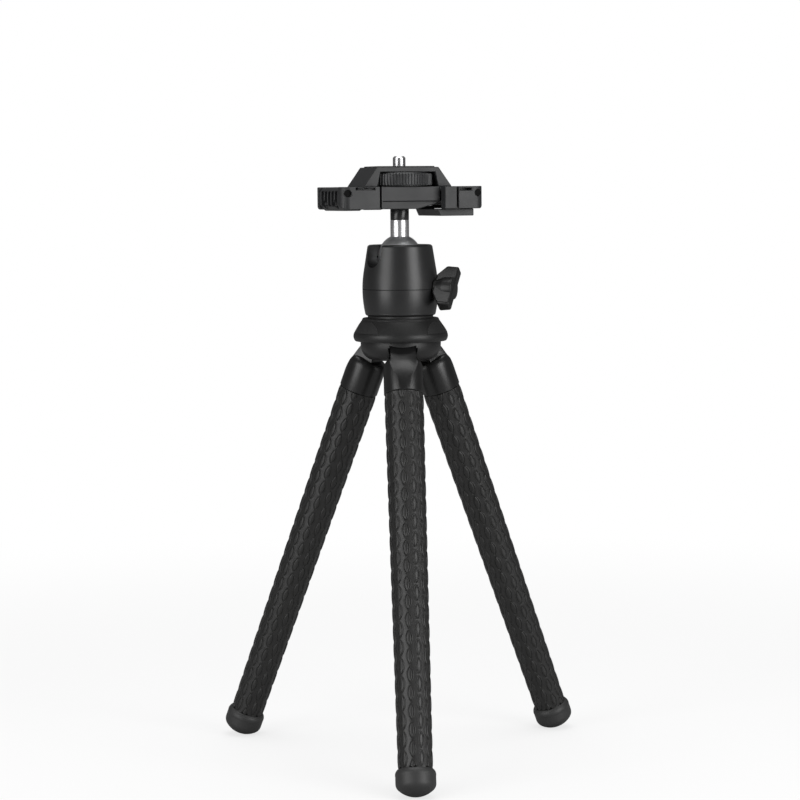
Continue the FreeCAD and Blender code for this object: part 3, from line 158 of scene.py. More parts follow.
print("camera placed")


# soft studio: one tall softbox on each side and a wide one above
lamps = {
    "softboxLeft": {"azimuth": -50, "height": 0.30, "distance": 1.15, "size": (0.66, 1.0), "watts": 7.5},
    "softboxRight": {"azimuth": 43, "height": 0.30, "distance": 1.15, "size": (0.62, 1.0), "watts": 9.5},
    "softboxTop": {"azimuth": 0, "height": 1.30, "distance": -0.05, "size": (0.9, 0.7), "watts": 6.5},
}
target = Vector((0, 0, 0.17))
for name, lamp in lamps.items():
    around = math.radians(lamp["azimuth"])
    place = Vector(
        (lamp["distance"] * math.sin(around), -lamp["distance"] * math.cos(around), lamp["height"])
    )
    bpy.ops.object.light_add(type="AREA", location=place)
    light = bpy.context.object
    light.name = name
    light.rotation_euler = (target - place).to_track_quat("-Z", "Y").to_euler()
    light.data.shape = "RECTANGLE"
    light.data.size, light.data.size_y = lamp["size"]
    light.data.energy = lamp["watts"]
print("lamps placed")


def link(tree, source, socket, target, name):
    tree.links.new(source.outputs[socket], target.inputs[name])


# world: white to the camera and through glass, dim in reflections, a plain grey light to all else
studio = {"ambient": 0.5, "mirrored": 0.13, "white": 1.0}
world = bpy.data.worlds.new("studio")
scene.world = world
world.use_nodes = True
tree = world.node_tree
background = tree.nodes["Background"]
background.inputs["Color"].default_value = (1, 1, 1, 1)
lightPath = tree.nodes.new("ShaderNodeLightPath")
unseen = tree.nodes.new("ShaderNodeMapRange")
unseen.inputs["To Min"].default_value = studio["ambient"]
unseen.inputs["To Max"].default_value = studio["mirrored"]
link(tree, lightPath, "Is Glossy Ray", unseen, "Value")
seen = tree.nodes.new("ShaderNodeMath")
seen.operation = "MAXIMUM"
link(tree, lightPath, "Is Camera Ray", seen, 0)
link(tree, lightPath, "Is Transmission Ray", seen, 1)
strength = tree.nodes.new("ShaderNodeMapRange")
strength.inputs["To Max"].default_value = studio["white"]
link(tree, seen, 0, strength, "Value")
link(tree, unseen, "Result", strength, "To Min")
link(tree, strength, "Result", background, "Strength")

floor = {"size": 8.0, "drop": 0.0, "nearFade": 0.25, "farFade": 0.8, "shade": 0.86, "bounce": 0.35}
deselectAll()
bpy.ops.mesh.primitive_plane_add(size=floor["size"], location=(0, 0, floor["drop"]))
ground = bpy.context.object
ground.name = "studioFloor"
applyPlace(ground)
paper = bpy.data.materials.new("floorPaper")
paper.use_nodes = True
tree = paper.node_tree
shader = tree.nodes["Principled BSDF"]
shader.inputs["Roughness"].default_value = 0.9
glow = tree.nodes.new("ShaderNodeEmission")
blendIn = tree.nodes.new("ShaderNodeMixShader")
lightPath = tree.nodes.new("ShaderNodeLightPath")
place = tree.nodes.new("ShaderNodeTexCoord")
reach = tree.nodes.new("ShaderNodeVectorMath")
reach.operation = "LENGTH"
link(tree, place, "Object", reach, 0)
fade = tree.nodes.new("ShaderNodeMapRange")
fade.interpolation_type = "SMOOTHSTEP"
fade.inputs["From Min"].default_value = floor["nearFade"]
fade.inputs["From Max"].default_value = floor["farFade"]
fade.inputs["To Min"].default_value = 0.72
link(tree, reach, "Value", fade, "Value")
whiteness = tree.nodes.new("ShaderNodeMapRange")
whiteness.inputs["To Min"].default_value = floor["bounce"]
whiteness.inputs["To Max"].default_value = floor["shade"]
link(tree, lightPath, "Is Camera Ray", whiteness, "Value")
link(tree, whiteness, "Result", shader, "Base Color")
onlySeen = tree.nodes.new("ShaderNodeMath")
onlySeen.operation = "MULTIPLY"
link(tree, fade, "Result", onlySeen, 0)
link(tree, lightPath, "Is Camera Ray", onlySeen, 1)
link(tree, onlySeen, 0, blendIn, "Fac")
tree.links.new(shader.outputs["BSDF"], blendIn.inputs[1])
tree.links.new(glow.outputs["Emission"], blendIn.inputs[2])
tree.links.new(blendIn.outputs["Shader"], tree.nodes["Material Output"].inputs["Surface"])
useMaterial(ground, paper)
print("floor and world made")


# moulded or cast grain: fine noise that moves the colour, the roughness and the normal
def makeGrain():
    group = bpy.data.node_groups.new("surfaceGrain", "ShaderNodeTree")
    face = group.interface
    face.new_socket("Colour", in_out="INPUT", socket_type="NodeSocketColor")
    face.new_socket("Grain Size", in_out="INPUT", socket_type="NodeSocketFloat")
    face.new_socket("Grain Depth", in_out="INPUT", socket_type="NodeSocketFloat")
    face.new_socket("Roughness", in_out="INPUT", socket_type="NodeSocketFloat")
    face.new_socket("Variation", in_out="INPUT", socket_type="NodeSocketFloat")
    face.new_socket("Colour", in_out="OUTPUT", socket_type="NodeSocketColor")
    face.new_socket("Roughness", in_out="OUTPUT", socket_type="NodeSocketFloat")
    face.new_socket("Normal", in_out="OUTPUT", socket_type="NodeSocketVector")
    add = group.nodes.new
    given, result = add("NodeGroupInput"), add("NodeGroupOutput")
    place = add("ShaderNodeTexCoord")
    perMetre = add("ShaderNodeMath")
    perMetre.operation = "DIVIDE"
    perMetre.inputs[0].default_value = 1
    link(group, given, "Grain Size", perMetre, 1)
    fine = add("ShaderNodeTexNoise")
    fine.inputs["Detail"].default_value = 2
    link(group, place, "Object", fine, "Vector")
    link(group, perMetre, 0, fine, "Scale")
    broad = add("ShaderNodeTexNoise")
    broad.inputs["Scale"].default_value = 90
    broad.inputs["Detail"].default_value = 4
    link(group, place, "Object", broad, "Vector")
    low, high = add("ShaderNodeMath"), add("ShaderNodeMath")
    low.operation, high.operation = "SUBTRACT", "ADD"
    low.inputs[0].default_value = high.inputs[0].default_value = 1
    link(group, given, "Variation", low, 1)
    link(group, given, "Variation", high, 1)
    share = add("ShaderNodeMapRange")
    share.inputs["From Min"].default_value = 0.3
    share.inputs["From Max"].default_value = 0.7
    link(group, broad, "Fac", share, "Value")
    link(group, low, 0, share, "To Min")
    link(group, high, 0, share, "To Max")
    tint = add("ShaderNodeVectorMath")
    tint.operation = "SCALE"
    link(group, given, "Colour", tint, 0)
    tint.inputs["Scale"].default_value = 1
    link(group, share, "Result", tint, "Scale")
    link(group, tint, "Vector", result, "Colour")
    dull = add("ShaderNodeMath")
    dull.operation = "MULTIPLY"
    link(group, given, "Roughness", dull, 0)
    link(group, share, "Result", dull, 1)
    link(group, dull, 0, result, "Roughness")
    bump = add("ShaderNodeBump")
    link(group, given, "Grain Depth", bump, "Distance")
    link(group, fine, "Fac", bump, "Height")
    link(group, bump, "Normal", result, "Normal")
    return group


# turning marks: rings round an axis, as a lathe or a polishing belt leaves them
def makeTurning():
    group = bpy.data.node_groups.new("turningMarks", "ShaderNodeTree")
    face = group.interface
    face.new_socket("Colour", in_out="INPUT", socket_type="NodeSocketColor")
    face.new_socket("Mark Pitch", in_out="INPUT", socket_type="NodeSocketFloat")
    face.new_socket("Mark Depth", in_out="INPUT", socket_type="NodeSocketFloat")
    face.new_socket("Roughness", in_out="INPUT", socket_type="NodeSocketFloat")
    face.new_socket("Colour", in_out="OUTPUT", socket_type="NodeSocketColor")
    face.new_socket("Roughness", in_out="OUTPUT", socket_type="NodeSocketFloat")
    face.new_socket("Normal", in_out="OUTPUT", socket_type="NodeSocketVector")
    add = group.nodes.new
    given, result = add("NodeGroupInput"), add("NodeGroupOutput")
    place = add("ShaderNodeTexCoord")
    split = add("ShaderNodeSeparateXYZ")
    link(group, place, "Object", split, 0)
    perMetre = add("ShaderNodeMath")
    perMetre.operation = "DIVIDE"
    link(group, split, "Z", perMetre, 0)
    link(group, given, "Mark Pitch", perMetre, 1)
    rings = add("ShaderNodeTexNoise")
    rings.noise_dimensions = "1D"
    rings.inputs["Scale"].default_value = 1
    rings.inputs["Detail"].default_value = 3
    link(group, perMetre, 0, rings, "W")
    share = add("ShaderNodeMapRange")
    share.inputs["From Min"].default_value = 0.25
    share.inputs["From Max"].default_value = 0.75
    share.inputs["To Min"].default_value = 0.82
    share.inputs["To Max"].default_value = 1.18
    link(group, rings, "Fac", share, "Value")
    tint = add("ShaderNodeVectorMath")
    tint.operation = "SCALE"
    link(group, given, "Colour", tint, 0)
    tintShare = add("ShaderNodeMapRange")
    tintShare.inputs["To Min"].default_value = 0.96
    tintShare.inputs["To Max"].default_value = 1.02
    link(group, rings, "Fac", tintShare, "Value")
    link(group, tintShare, "Result", tint, "Scale")
    link(group, tint, "Vector", result, "Colour")
    dull = add("ShaderNodeMath")
    dull.operation = "MULTIPLY"
    link(group, given, "Roughness", dull, 0)
    link(group, share, "Result", dull, 1)
    link(group, dull, 0, result, "Roughness")
    bump = add("ShaderNodeBump")
    link(group, given, "Mark Depth", bump, "Distance")
    link(group, rings, "Fac", bump, "Height")
    link(group, bump, "Normal", result, "Normal")
    return group


surfaceGrain = makeGrain()
turningMarks = makeTurning()


def newMaterial(name, group, inputs, **sockets):
    material = bpy.data.materials.new(name)
    material.use_nodes = True
    tree = material.node_tree
    shader = tree.nodes["Principled BSDF"]
    effect = tree.nodes.new("ShaderNodeGroup")
    effect.node_tree = group
    for socket, value in inputs.items():
        if socket == "Colour":
            value = tuple(value) + (1,)
        effect.inputs[socket].default_value = value
    link(tree, effect, "Colour", shader, "Base Color")
    link(tree, effect, "Roughness", shader, "Roughness")
    link(tree, effect, "Normal", shader, "Normal")
    for socket, value in sockets.items():
        shader.inputs[socket.replace("_", " ")].default_value = value
    return material


def mouldedMaterial(name, colour, size, depth, roughness, variation=0.08, **sockets):
    inputs = {
        "Colour": colour,
        "Grain Size": size,
        "Grain Depth": depth,
        "Roughness": roughness,
        "Variation": variation,
    }
    return newMaterial(name, surfaceGrain, inputs, **sockets)


def turnedMaterial(name, colour, pitch, depth, roughness, **sockets):
    inputs = {"Colour": colour, "Mark Pitch": pitch, "Mark Depth": depth, "Roughness": roughness}
    return newMaterial(name, turningMarks, inputs, Metallic=1, **sockets)


finishes = {
    "black_casting": mouldedMaterial("satinCasting", (0.009, 0.009, 0.009), 0.00035, 0.00002, 0.42),
    "hub_shell": mouldedMaterial("hubShell", (0.008, 0.008, 0.008), 0.0004, 0.00002, 0.45),
    "grip_rubber": mouldedMaterial("gripRubber", (0.012, 0.012, 0.012), 0.0006, 0.00012, 0.62),
    "steel": turnedMaterial("plainSteel", (0.55, 0.55, 0.56), 0.0003, 0.000004, 0.3),
    "dark_steel": turnedMaterial("blackenedSteel", (0.006, 0.006, 0.006), 0.0003, 0.000004, 0.5),
    "washer_nylon": mouldedMaterial("washerNylon", (0.012, 0.012, 0.012), 0.0003, 0.00001, 0.5),
    "ferrule_black": mouldedMaterial("ferruleBlack", (0.008, 0.008, 0.008), 0.0004, 0.00001, 0.33),
    "sleeve_rubber": mouldedMaterial("sleeveRubber", (0.015, 0.0148, 0.0143), 0.00025, 0.00004, 0.42),
    "soft_wire": turnedMaterial("softWire", (0.62, 0.62, 0.63), 0.0004, 0.00001, 0.4),
    "foot_rubber": mouldedMaterial("footRubber", (0.027, 0.027, 0.027), 0.0003, 0.00003, 0.5),
    "housing_black": mouldedMaterial("housingBlack", (0.014, 0.0142, 0.0145), 0.0002, 0.000006, 0.34),
    "seat_plastic": mouldedMaterial("seatPlastic", (0.02, 0.02, 0.021), 0.0005, 0.00002, 0.45),
    "brass": turnedMaterial("wedgeBrass", (0.72, 0.50, 0.22), 0.0003, 0.000006, 0.3),
    "knob_black": mouldedMaterial(
        "knobBlack", (0.008, 0.008, 0.008), 0.0003, 0.00001, 0.38, Specular_IOR_Level=0.45,
    ),
    "ball_steel": turnedMaterial("satinBall", (0.84, 0.85, 0.86), 0.00025, 0.000004, 0.46),
    "stem_steel": turnedMaterial("brightStem", (0.80, 0.80, 0.81), 0.0003, 0.0000008, 0.31),
    "collar_black": mouldedMaterial("collarBlack", (0.012, 0.012, 0.013), 0.0003, 0.00001, 0.25),
    "clamp_plastic": mouldedMaterial("clampPlastic", (0.017, 0.0175, 0.0185), 0.0005, 0.00002, 0.5),
    "wheel_plastic": mouldedMaterial("wheelPlastic", (0.020, 0.021, 0.022), 0.0004, 0.00001, 0.4),
    "pad_rubber": mouldedMaterial("padRubber", (0.014, 0.014, 0.014), 0.0004, 0.00006, 0.6),
}
for entry in frame["record"]["subparts"]:
    useMaterial(nodes[entry["node"]], finishes[entry["material_slot"]])
print("materials made")


# real edges are never sharp: the frame's own solids get a small rounding, their meshes stay as they are
edgeRounding = {
    "camera_block": 0.0004,
    "platform_pad": 0.0002,
    "hub_cap": 0.0002,
    "collar": 0.0003,
    "camera_wheel": 0.00012,
}
for name, width in edgeRounding.items():
    addModifier(nodes[name], "WELD", merge_threshold=1e-6)
    addModifier(nodes[name], "DECIMATE", decimate_type="DISSOLVE", angle_limit=math.radians(1))
    addModifier(
        nodes[name], "BEVEL", width=width, segments=3, limit_method="ANGLE",
        angle_limit=math.radians(32), use_clamp_overlap=False, harden_normals=True,
    )
print("edges rounded")

# where each leg hangs: its hinge in the hub and its lean, as in the frame
joints = {joint["name"]: joint for joint in frame["joints"]}
legs = {"front": 0, "right": 120, "left": -120}
legLean = 21.7
hingeRadius = -joints["front_leg_swing"]["pos_m"][1]
hingeHeight = joints["front_leg_swing"]["pos_m"][2]


# a piece drawn down the -Z axis from the hinge is copied, turned and moved to its leg
def copyToLeg(pattern, side, name):
    makeActive(pattern)
    bpy.ops.object.duplicate(linked=False)
    piece = bpy.context.object
    piece.name = name
    around = math.radians(legs[side])
    piece.rotation_euler = (math.radians(-legLean), 0, around)
    piece.location = (
        hingeRadius * math.sin(around),
        -hingeRadius * math.cos(around),
        hingeHeight,
    )
    applyPlace(piece)
    return piece


def bendWithLeg(piece):
    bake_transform(piece)


# rubber sleeve: one cell with a pointed pillow, repeated on a flat sheet that is then rolled up
sleeve = {
    "columns": 12,
    "rows": 21,
    "topRadius": 0.00947,
    "footRadius": 0.00812,
    "start": 0.0219,
    "end": 0.2071,
    "trim": 0.0001,
    "turn": -11.6,
    "boreRadius": 0.0032,
    "boreRings": 46,
    "bendReach": 0.012,
    "outlinePoints": 20,
    "acrossSteps": 4,
    "pillowTop": 0.00003,
    # half width, half length and height of each ring round the pillow, from its top outwards
    "rings": [
        (0.00055, 0.00220, 0.00038),
        (0.00103, 0.00325, 0.00031),
        (0.00130, 0.00368, 0.00012),
        (0.00140, 0.00388, -0.00012),
        (0.00155, 0.00404, -0.00012),
        (0.00168, 0.00418, 0.00010),
        (0.00190, 0.00426, 0.00013),
        (0.00220, 0.00434, 0.0),
    ],
}


# a round outline is squeezed sideways, row by row, until it comes to a point at both ends
def addPointedOutline(halfWidth, halfLength):
    bpy.ops.mesh.primitive_circle_add(vertices=sleeve["outlinePoints"], radius=1, fill_type="NOTHING")
    outline = bpy.context.object
    step = 2 * math.pi / sleeve["outlinePoints"]
    startEdit(outline)
    for number in range(sleeve["outlinePoints"] // 4):
        level = math.sin(number * step)
        selectWhere(outline, "VERT", lambda co: abs(abs(co.y) - level) < 1e-4)
        bpy.ops.transform.resize(value=(math.cos(number * step), 1, 1), center_override=(0, 0, 0))
    bpy.ops.mesh.select_all(action="SELECT")
    bpy.ops.transform.resize(value=(halfWidth, halfLength, 1), center_override=(0, 0, 0))
    return outline


def makeSleeveCell(width, height):
    halfWidth, halfLength, level = sleeve["rings"][0]
    piece = addPointedOutline(halfWidth, halfLength)
    bpy.ops.transform.translate(value=(0, 0, level))
    bpy.ops.mesh.edge_face_add()
    bpy.ops.mesh.poke(offset=sleeve["pillowTop"])
    bpy.ops.mesh.select_mode(type="EDGE")
    bpy.ops.mesh.select_all(action="DESELECT")
    bpy.ops.mesh.select_non_manifold()
    for wide, tall, rise in sleeve["rings"][1:]:
        bpy.ops.mesh.extrude_region_move(TRANSFORM_OT_translate={"value": (0, 0, rise - level)})
        bpy.ops.transform.resize(value=(wide / halfWidth, tall / halfLength, 1), center_override=(0, 0, 0))
        halfWidth, halfLength, level = wide, tall, rise
    # the straight border where the cells meet
    bpy.ops.mesh.select_all(action="DESELECT")
    bpy.ops.mesh.primitive_plane_add(size=1)
    bpy.ops.transform.resize(value=(width, height, 1), center_override=(0, 0, 0))
    bpy.ops.mesh.delete(type="ONLY_FACE")
    near = 1e-6
    across = sleeve["acrossSteps"]
    along = sleeve["outlinePoints"] // 2 - across
    selectWhere(piece, "EDGE", lambda co: abs(co.y) > height / 2 - near)
    bpy.ops.mesh.subdivide(number_cuts=across - 1)
    selectWhere(piece, "EDGE", lambda co: abs(co.x) > width / 2 - near)
    bpy.ops.mesh.subdivide(number_cuts=along - 1)
    bpy.ops.mesh.select_all(action="DESELECT")
    bpy.ops.mesh.select_non_manifold()
    bpy.ops.mesh.bridge_edge_loops()
    endEdit()
    return piece


def makeSleeve():
    width = 2 * math.pi * sleeve["topRadius"] / sleeve["columns"]
    length = sleeve["end"] - sleeve["start"]
    height = length / sleeve["rows"]
    piece = makeSleeveCell(width, height)
    piece.name = "sleevePattern"
    # every second column is half a cell further along
    startEdit(piece)
    bpy.ops.mesh.select_all(action="SELECT")
    bpy.ops.mesh.duplicate()
    bpy.ops.transform.translate(value=(width, height / 2, 0))
    endEdit()
    applyModifier(
        piece, "ARRAY", count=sleeve["columns"] // 2, use_relative_offset=False, use_constant_offset=True,
        constant_offset_displace=(2 * width, 0, 0),
    )
    applyModifier(
        piece, "ARRAY", count=sleeve["rows"] + 1, use_relative_offset=False, use_constant_offset=True,
        constant_offset_displace=(0, height, 0),
    )
    low = sleeve["trim"]
    startEdit(piece)
    bpy.ops.mesh.select_all(action="SELECT")
    bpy.ops.mesh.remove_doubles(threshold=1e-6)
    for level, way in ((low, -1), (low + length, 1)):
        bpy.ops.mesh.select_all(action="SELECT")
        bpy.ops.mesh.bisect(plane_co=(0, level, 0), plane_no=(0, way, 0), clear_outer=True)
    bpy.ops.mesh.select_all(action="SELECT")
    bpy.ops.transform.translate(value=(0, -low - length, 0))
    endEdit()
    # stood up, rolled into a tube and tapered towards the foot
    piece.rotation_euler = (math.radians(90), 0, 0)
    applyPlace(piece)
    applyModifier(piece, "SIMPLE_DEFORM", deform_method="BEND", deform_axis="Z", angle=2 * math.pi)
    piece.location = (0, -sleeve["topRadius"], 0)
    applyPlace(piece)
    narrowing = 1 - sleeve["footRadius"] / sleeve["topRadius"]
    applyModifier(piece, "SIMPLE_DEFORM", deform_method="TAPER", deform_axis="Z", factor=narrowing)
    # end faces down to the bore, and the bore's wall
    startEdit(piece)
    bpy.ops.mesh.select_all(action="SELECT")
    bpy.ops.mesh.remove_doubles(threshold=2e-6)
    for level, radius in ((0, sleeve["topRadius"]), (-length, sleeve["footRadius"])):
        selectWhere(piece, "EDGE", lambda co: abs(co.z - level) < 1e-6)
        bpy.ops.mesh.extrude_region_move(TRANSFORM_OT_translate={"value": (0, 0, 0)})
        shrink = sleeve["boreRadius"] / radius
        bpy.ops.transform.resize(value=(shrink, shrink, 1), center_override=(0, 0, level))
    selectWhere(piece, "EDGE", lambda co: math.hypot(co.x, co.y) < sleeve["boreRadius"] * 1.1)
    bpy.ops.mesh.bridge_edge_loops(number_cuts=sleeve["boreRings"], interpolation="LINEAR")
    bpy.ops.mesh.select_all(action="SELECT")
    bpy.ops.mesh.normals_make_consistent(inside=False)
    endEdit()
    piece.location = (0, 0, -sleeve["start"])
    piece.rotation_euler = (0, 0, math.radians(sleeve["turn"]))
    applyPlace(piece)
    bpy.ops.object.shade_smooth_by_angle(angle=math.radians(50))
    return piece


sleevePattern = makeSleeve()
for side in legs:
    piece = copyToLeg(sleevePattern, side, f"{side}_leg_sleeve")
    useMaterial(piece, finishes["sleeve_rubber"])
    bendWithLeg(piece)
    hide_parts(f"{side}_leg_upper_sleeve", f"{side}_leg_bend_sleeve", f"{side}_leg_lower_sleeve")
bpy.data.objects.remove(sleevePattern)
print("sleeves made")


# soft wires inside a leg: one in the middle and wires twisted round it, meant to be six, though the copying makes
# only two
core = {
    "wires": 6,
    "wireRadius": 0.00103,
    "laidAt": 0.00210,
    "wirePoints": 10,
    "start": 0.0129,
    "end": 0.2130,
    "rings": 64,
    "turns": 6,
}


def makeCore():
    bpy.ops.mesh.primitive_circle_add(
        vertices=core["wirePoints"], radius=core["wireRadius"], location=(core["laidAt"], 0, 0), fill_type="NGON"
    )
    piece = bpy.context.object
    piece.name = "corePattern"
    applyPlace(piece)
    startEdit(piece)
    for number in range(core["wires"] - 1):
        bpy.ops.mesh.select_all(action="SELECT")
        if number:
            selectWhere(piece, "FACE", lambda co: abs(math.degrees(math.atan2(co.y, co.x)) % 360 - last) < 1)
        last = (number + 1) * 360 / core["wires"]
        bpy.ops.mesh.duplicate()
        bpy.ops.transform.rotate(
            value=2 * math.pi / core["wires"], orient_axis="Z", center_override=(0, 0, 0)
        )
    bpy.ops.mesh.primitive_circle_add(
        vertices=core["wirePoints"], radius=core["wireRadius"], location=(0, 0, 0), fill_type="NGON"
    )
    bpy.ops.mesh.select_all(action="SELECT")
    length = core["end"] - core["start"]
    bpy.ops.mesh.extrude_region_move(TRANSFORM_OT_translate={"value": (0, 0, -length)})
    bpy.ops.mesh.select_all(action="SELECT")
    for number in range(1, core["rings"]):
        bpy.ops.mesh.select_all(action="SELECT")
        bpy.ops.mesh.bisect(plane_co=(0, 0, -length * number / core["rings"]), plane_no=(0, 0, 1))
    endEdit()
    applyModifier(
        piece, "SIMPLE_DEFORM", deform_method="TWIST", deform_axis="Z", angle=core["turns"] * 2 * math.pi
    )
    piece.location = (0, 0, -core["start"])
    finishMesh(piece)
    return piece


corePattern = makeCore()
for side in legs:
    piece = copyToLeg(corePattern, side, f"{side}_leg_core")
    useMaterial(piece, finishes["soft_wire"])
    bendWithLeg(piece)
    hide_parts(f"{side}_leg_upper_core", f"{side}_leg_bend_core", f"{side}_leg_lower_core")
bpy.data.objects.remove(corePattern)
print("cores made")

# black metal ferrule: a shouldered tube with a tongue, cut flat in front so that the leg can swing up
ferrule = {
    "radius": 0.0099,
    "shoulderRadius": 0.0063,
    "top": 0.0037,
    "shoulderEnd": 0.0082,
    "shoulderSteps": 6,
    "end": 0.02165,
    "lipBevel": 0.0003,
    "points": 72,
    "tongueWidth": 0.0126,
    "tongueRadius": 0.0046,
    "tongueEnd": 0.0078,
    "tonguePoints": 28,
    "tongueBlock": 0.0038,
    "pinRadius": 0.00131,
    "frontCutAtEnd": 0.0165,
    "backCut": (0.0040, 0.0054),
    "edgeRound": 0.00035,
}


def cutAway(piece, point, outward):
    startEdit(piece)
    bpy.ops.mesh.select_all(action="SELECT")
    bpy.ops.mesh.bisect(plane_co=point, plane_no=outward, use_fill=True, clear_outer=True)
    endEdit()


def joinWith(piece, other, operation):
    applyModifier(piece, "BOOLEAN", object=other, operation=operation, solver="EXACT")
    bpy.data.objects.remove(other)


# a round piece from rings of radius and height, closed at both ends
def addTurned(name, rings, points):
    bpy.ops.mesh.primitive_circle_add(vertices=points, radius=rings[0][0], location=(0, 0, rings[0][1]), fill_type="NGON")
    piece = bpy.context.object
    piece.name = name
    applyPlace(piece)
    startEdit(piece)
    bpy.ops.mesh.select_all(action="SELECT")
    for (radius, height), (lastRadius, lastHeight) in zip(rings[1:], rings):
        bpy.ops.mesh.extrude_region_move(TRANSFORM_OT_translate={"value": (0, 0, height - lastHeight)})
        size = radius / lastRadius
        bpy.ops.transform.resize(value=(size, size, 1), center_override=(0, 0, height))
    bpy.ops.mesh.select_all(action="SELECT")
    bpy.ops.mesh.normals_make_consistent(inside=False)
    endEdit()
    return piece


def addRod(radius, length, place, axis, points=48):
    turn = {"X": (0, math.pi / 2, 0), "Y": (math.pi / 2, 0, 0), "Z": (0, 0, 0)}[axis]
    bpy.ops.mesh.primitive_cylinder_add(vertices=points, radius=radius, depth=length, location=place, rotation=turn)
    rod = bpy.context.object
    applyPlace(rod)
    return rod


def makeFerrule():
    steps = ferrule["shoulderSteps"]
    wide = ferrule["radius"] - ferrule["shoulderRadius"]
    drop = ferrule["shoulderEnd"] - ferrule["top"]
    rings = []
    for step in range(steps + 1):
        turned = math.pi / 2 * step / steps
        rings.append(
            (
                ferrule["shoulderRadius"] + wide * math.sin(turned),
                -ferrule["top"] - drop * (1 - math.cos(turned)),
            )
        )
    rings.append((ferrule["radius"], -ferrule["end"] + ferrule["lipBevel"]))
    rings.append((ferrule["radius"] - ferrule["lipBevel"], -ferrule["end"]))
    piece = addTurned("ferrulePattern", rings, ferrule["points"])
    nearTop, farTop = ferrule["backCut"]
    cutAway(piece, (0, 0, -nearTop), Vector((0, farTop - nearTop, ferrule["radius"])).normalized())
    # the tongue is round about its pin and runs down into the tube
    tongue = addRod(ferrule["tongueRadius"], ferrule["tongueWidth"], (0, 0, 0), "X", ferrule["tonguePoints"])
    near = 1e-5
    startEdit(tongue)
    bpy.ops.mesh.select_all(action="SELECT")
    bpy.ops.mesh.bisect(plane_co=(0, 0, 0), plane_no=(0, 0, -1), clear_outer=True, use_fill=True)
    selectWhere(tongue, "FACE", lambda co: co.z < near)
    bpy.ops.mesh.extrude_region_move(TRANSFORM_OT_translate={"value": (0, 0, -ferrule["tongueEnd"])})
    selectWhere(tongue, "VERT", lambda co: co.z < near and co.y < 0)
    bpy.ops.transform.translate(value=(0, -ferrule["tongueBlock"], 0))
    endEdit()
    joinWith(piece, tongue, "UNION")
    # the flat front leans from the tongue down to the round wall
    fall = Vector((0, ferrule["tongueRadius"] - ferrule["radius"], -ferrule["frontCutAtEnd"]))
    cutAway(piece, (0, -ferrule["tongueRadius"], 0), Vector((0, fall.z, -fall.y)).normalized())
    pinHole = addRod(ferrule["pinRadius"], ferrule["tongueWidth"] * 1.5, (0, 0, 0), "X")
    joinWith(piece, pinHole, "DIFFERENCE")
    applyModifier(
        piece, "BEVEL", width=ferrule["edgeRound"], segments=3, limit_method="ANGLE",
        angle_limit=math.radians(28),
    )
    finishMesh(piece, 40)
    return piece


ferrulePattern = makeFerrule()
for side in legs:
    piece = copyToLeg(ferrulePattern, side, f"{side}_leg_end")
    useMaterial(piece, finishes["ferrule_black"])
    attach(piece, f"{side}_leg_upper")
    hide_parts(f"{side}_leg_ferrule")
bpy.data.objects.remove(ferrulePattern)
print("ferrules made")


# wing knob: a slanted bar with a round middle, drawn with its axis along -Y as in the frame
knob = {
    "turn": 66.0,
    "height": joints["lock_knob_turn"]["pos_m"][2],
    "wingAngle": 42.0,
    "reach": 0.0294,
    "depth": 0.0060,
    "halfSpan": 0.0122,
    "rootHalfSpan": 0.0055,
    "halfWidth": 0.0031,
    "rootHalfWidth": 0.0044,
    "tipHalfWidth": 0.0027,
    "rootStart": 0.01935,
    "bossStart": 0.01875,
    "bossRadius": 0.0046,
    "middleRadius": 0.0056,
    "middleDrop": 0.0004,
    "edgeRound": 0.0010,
}


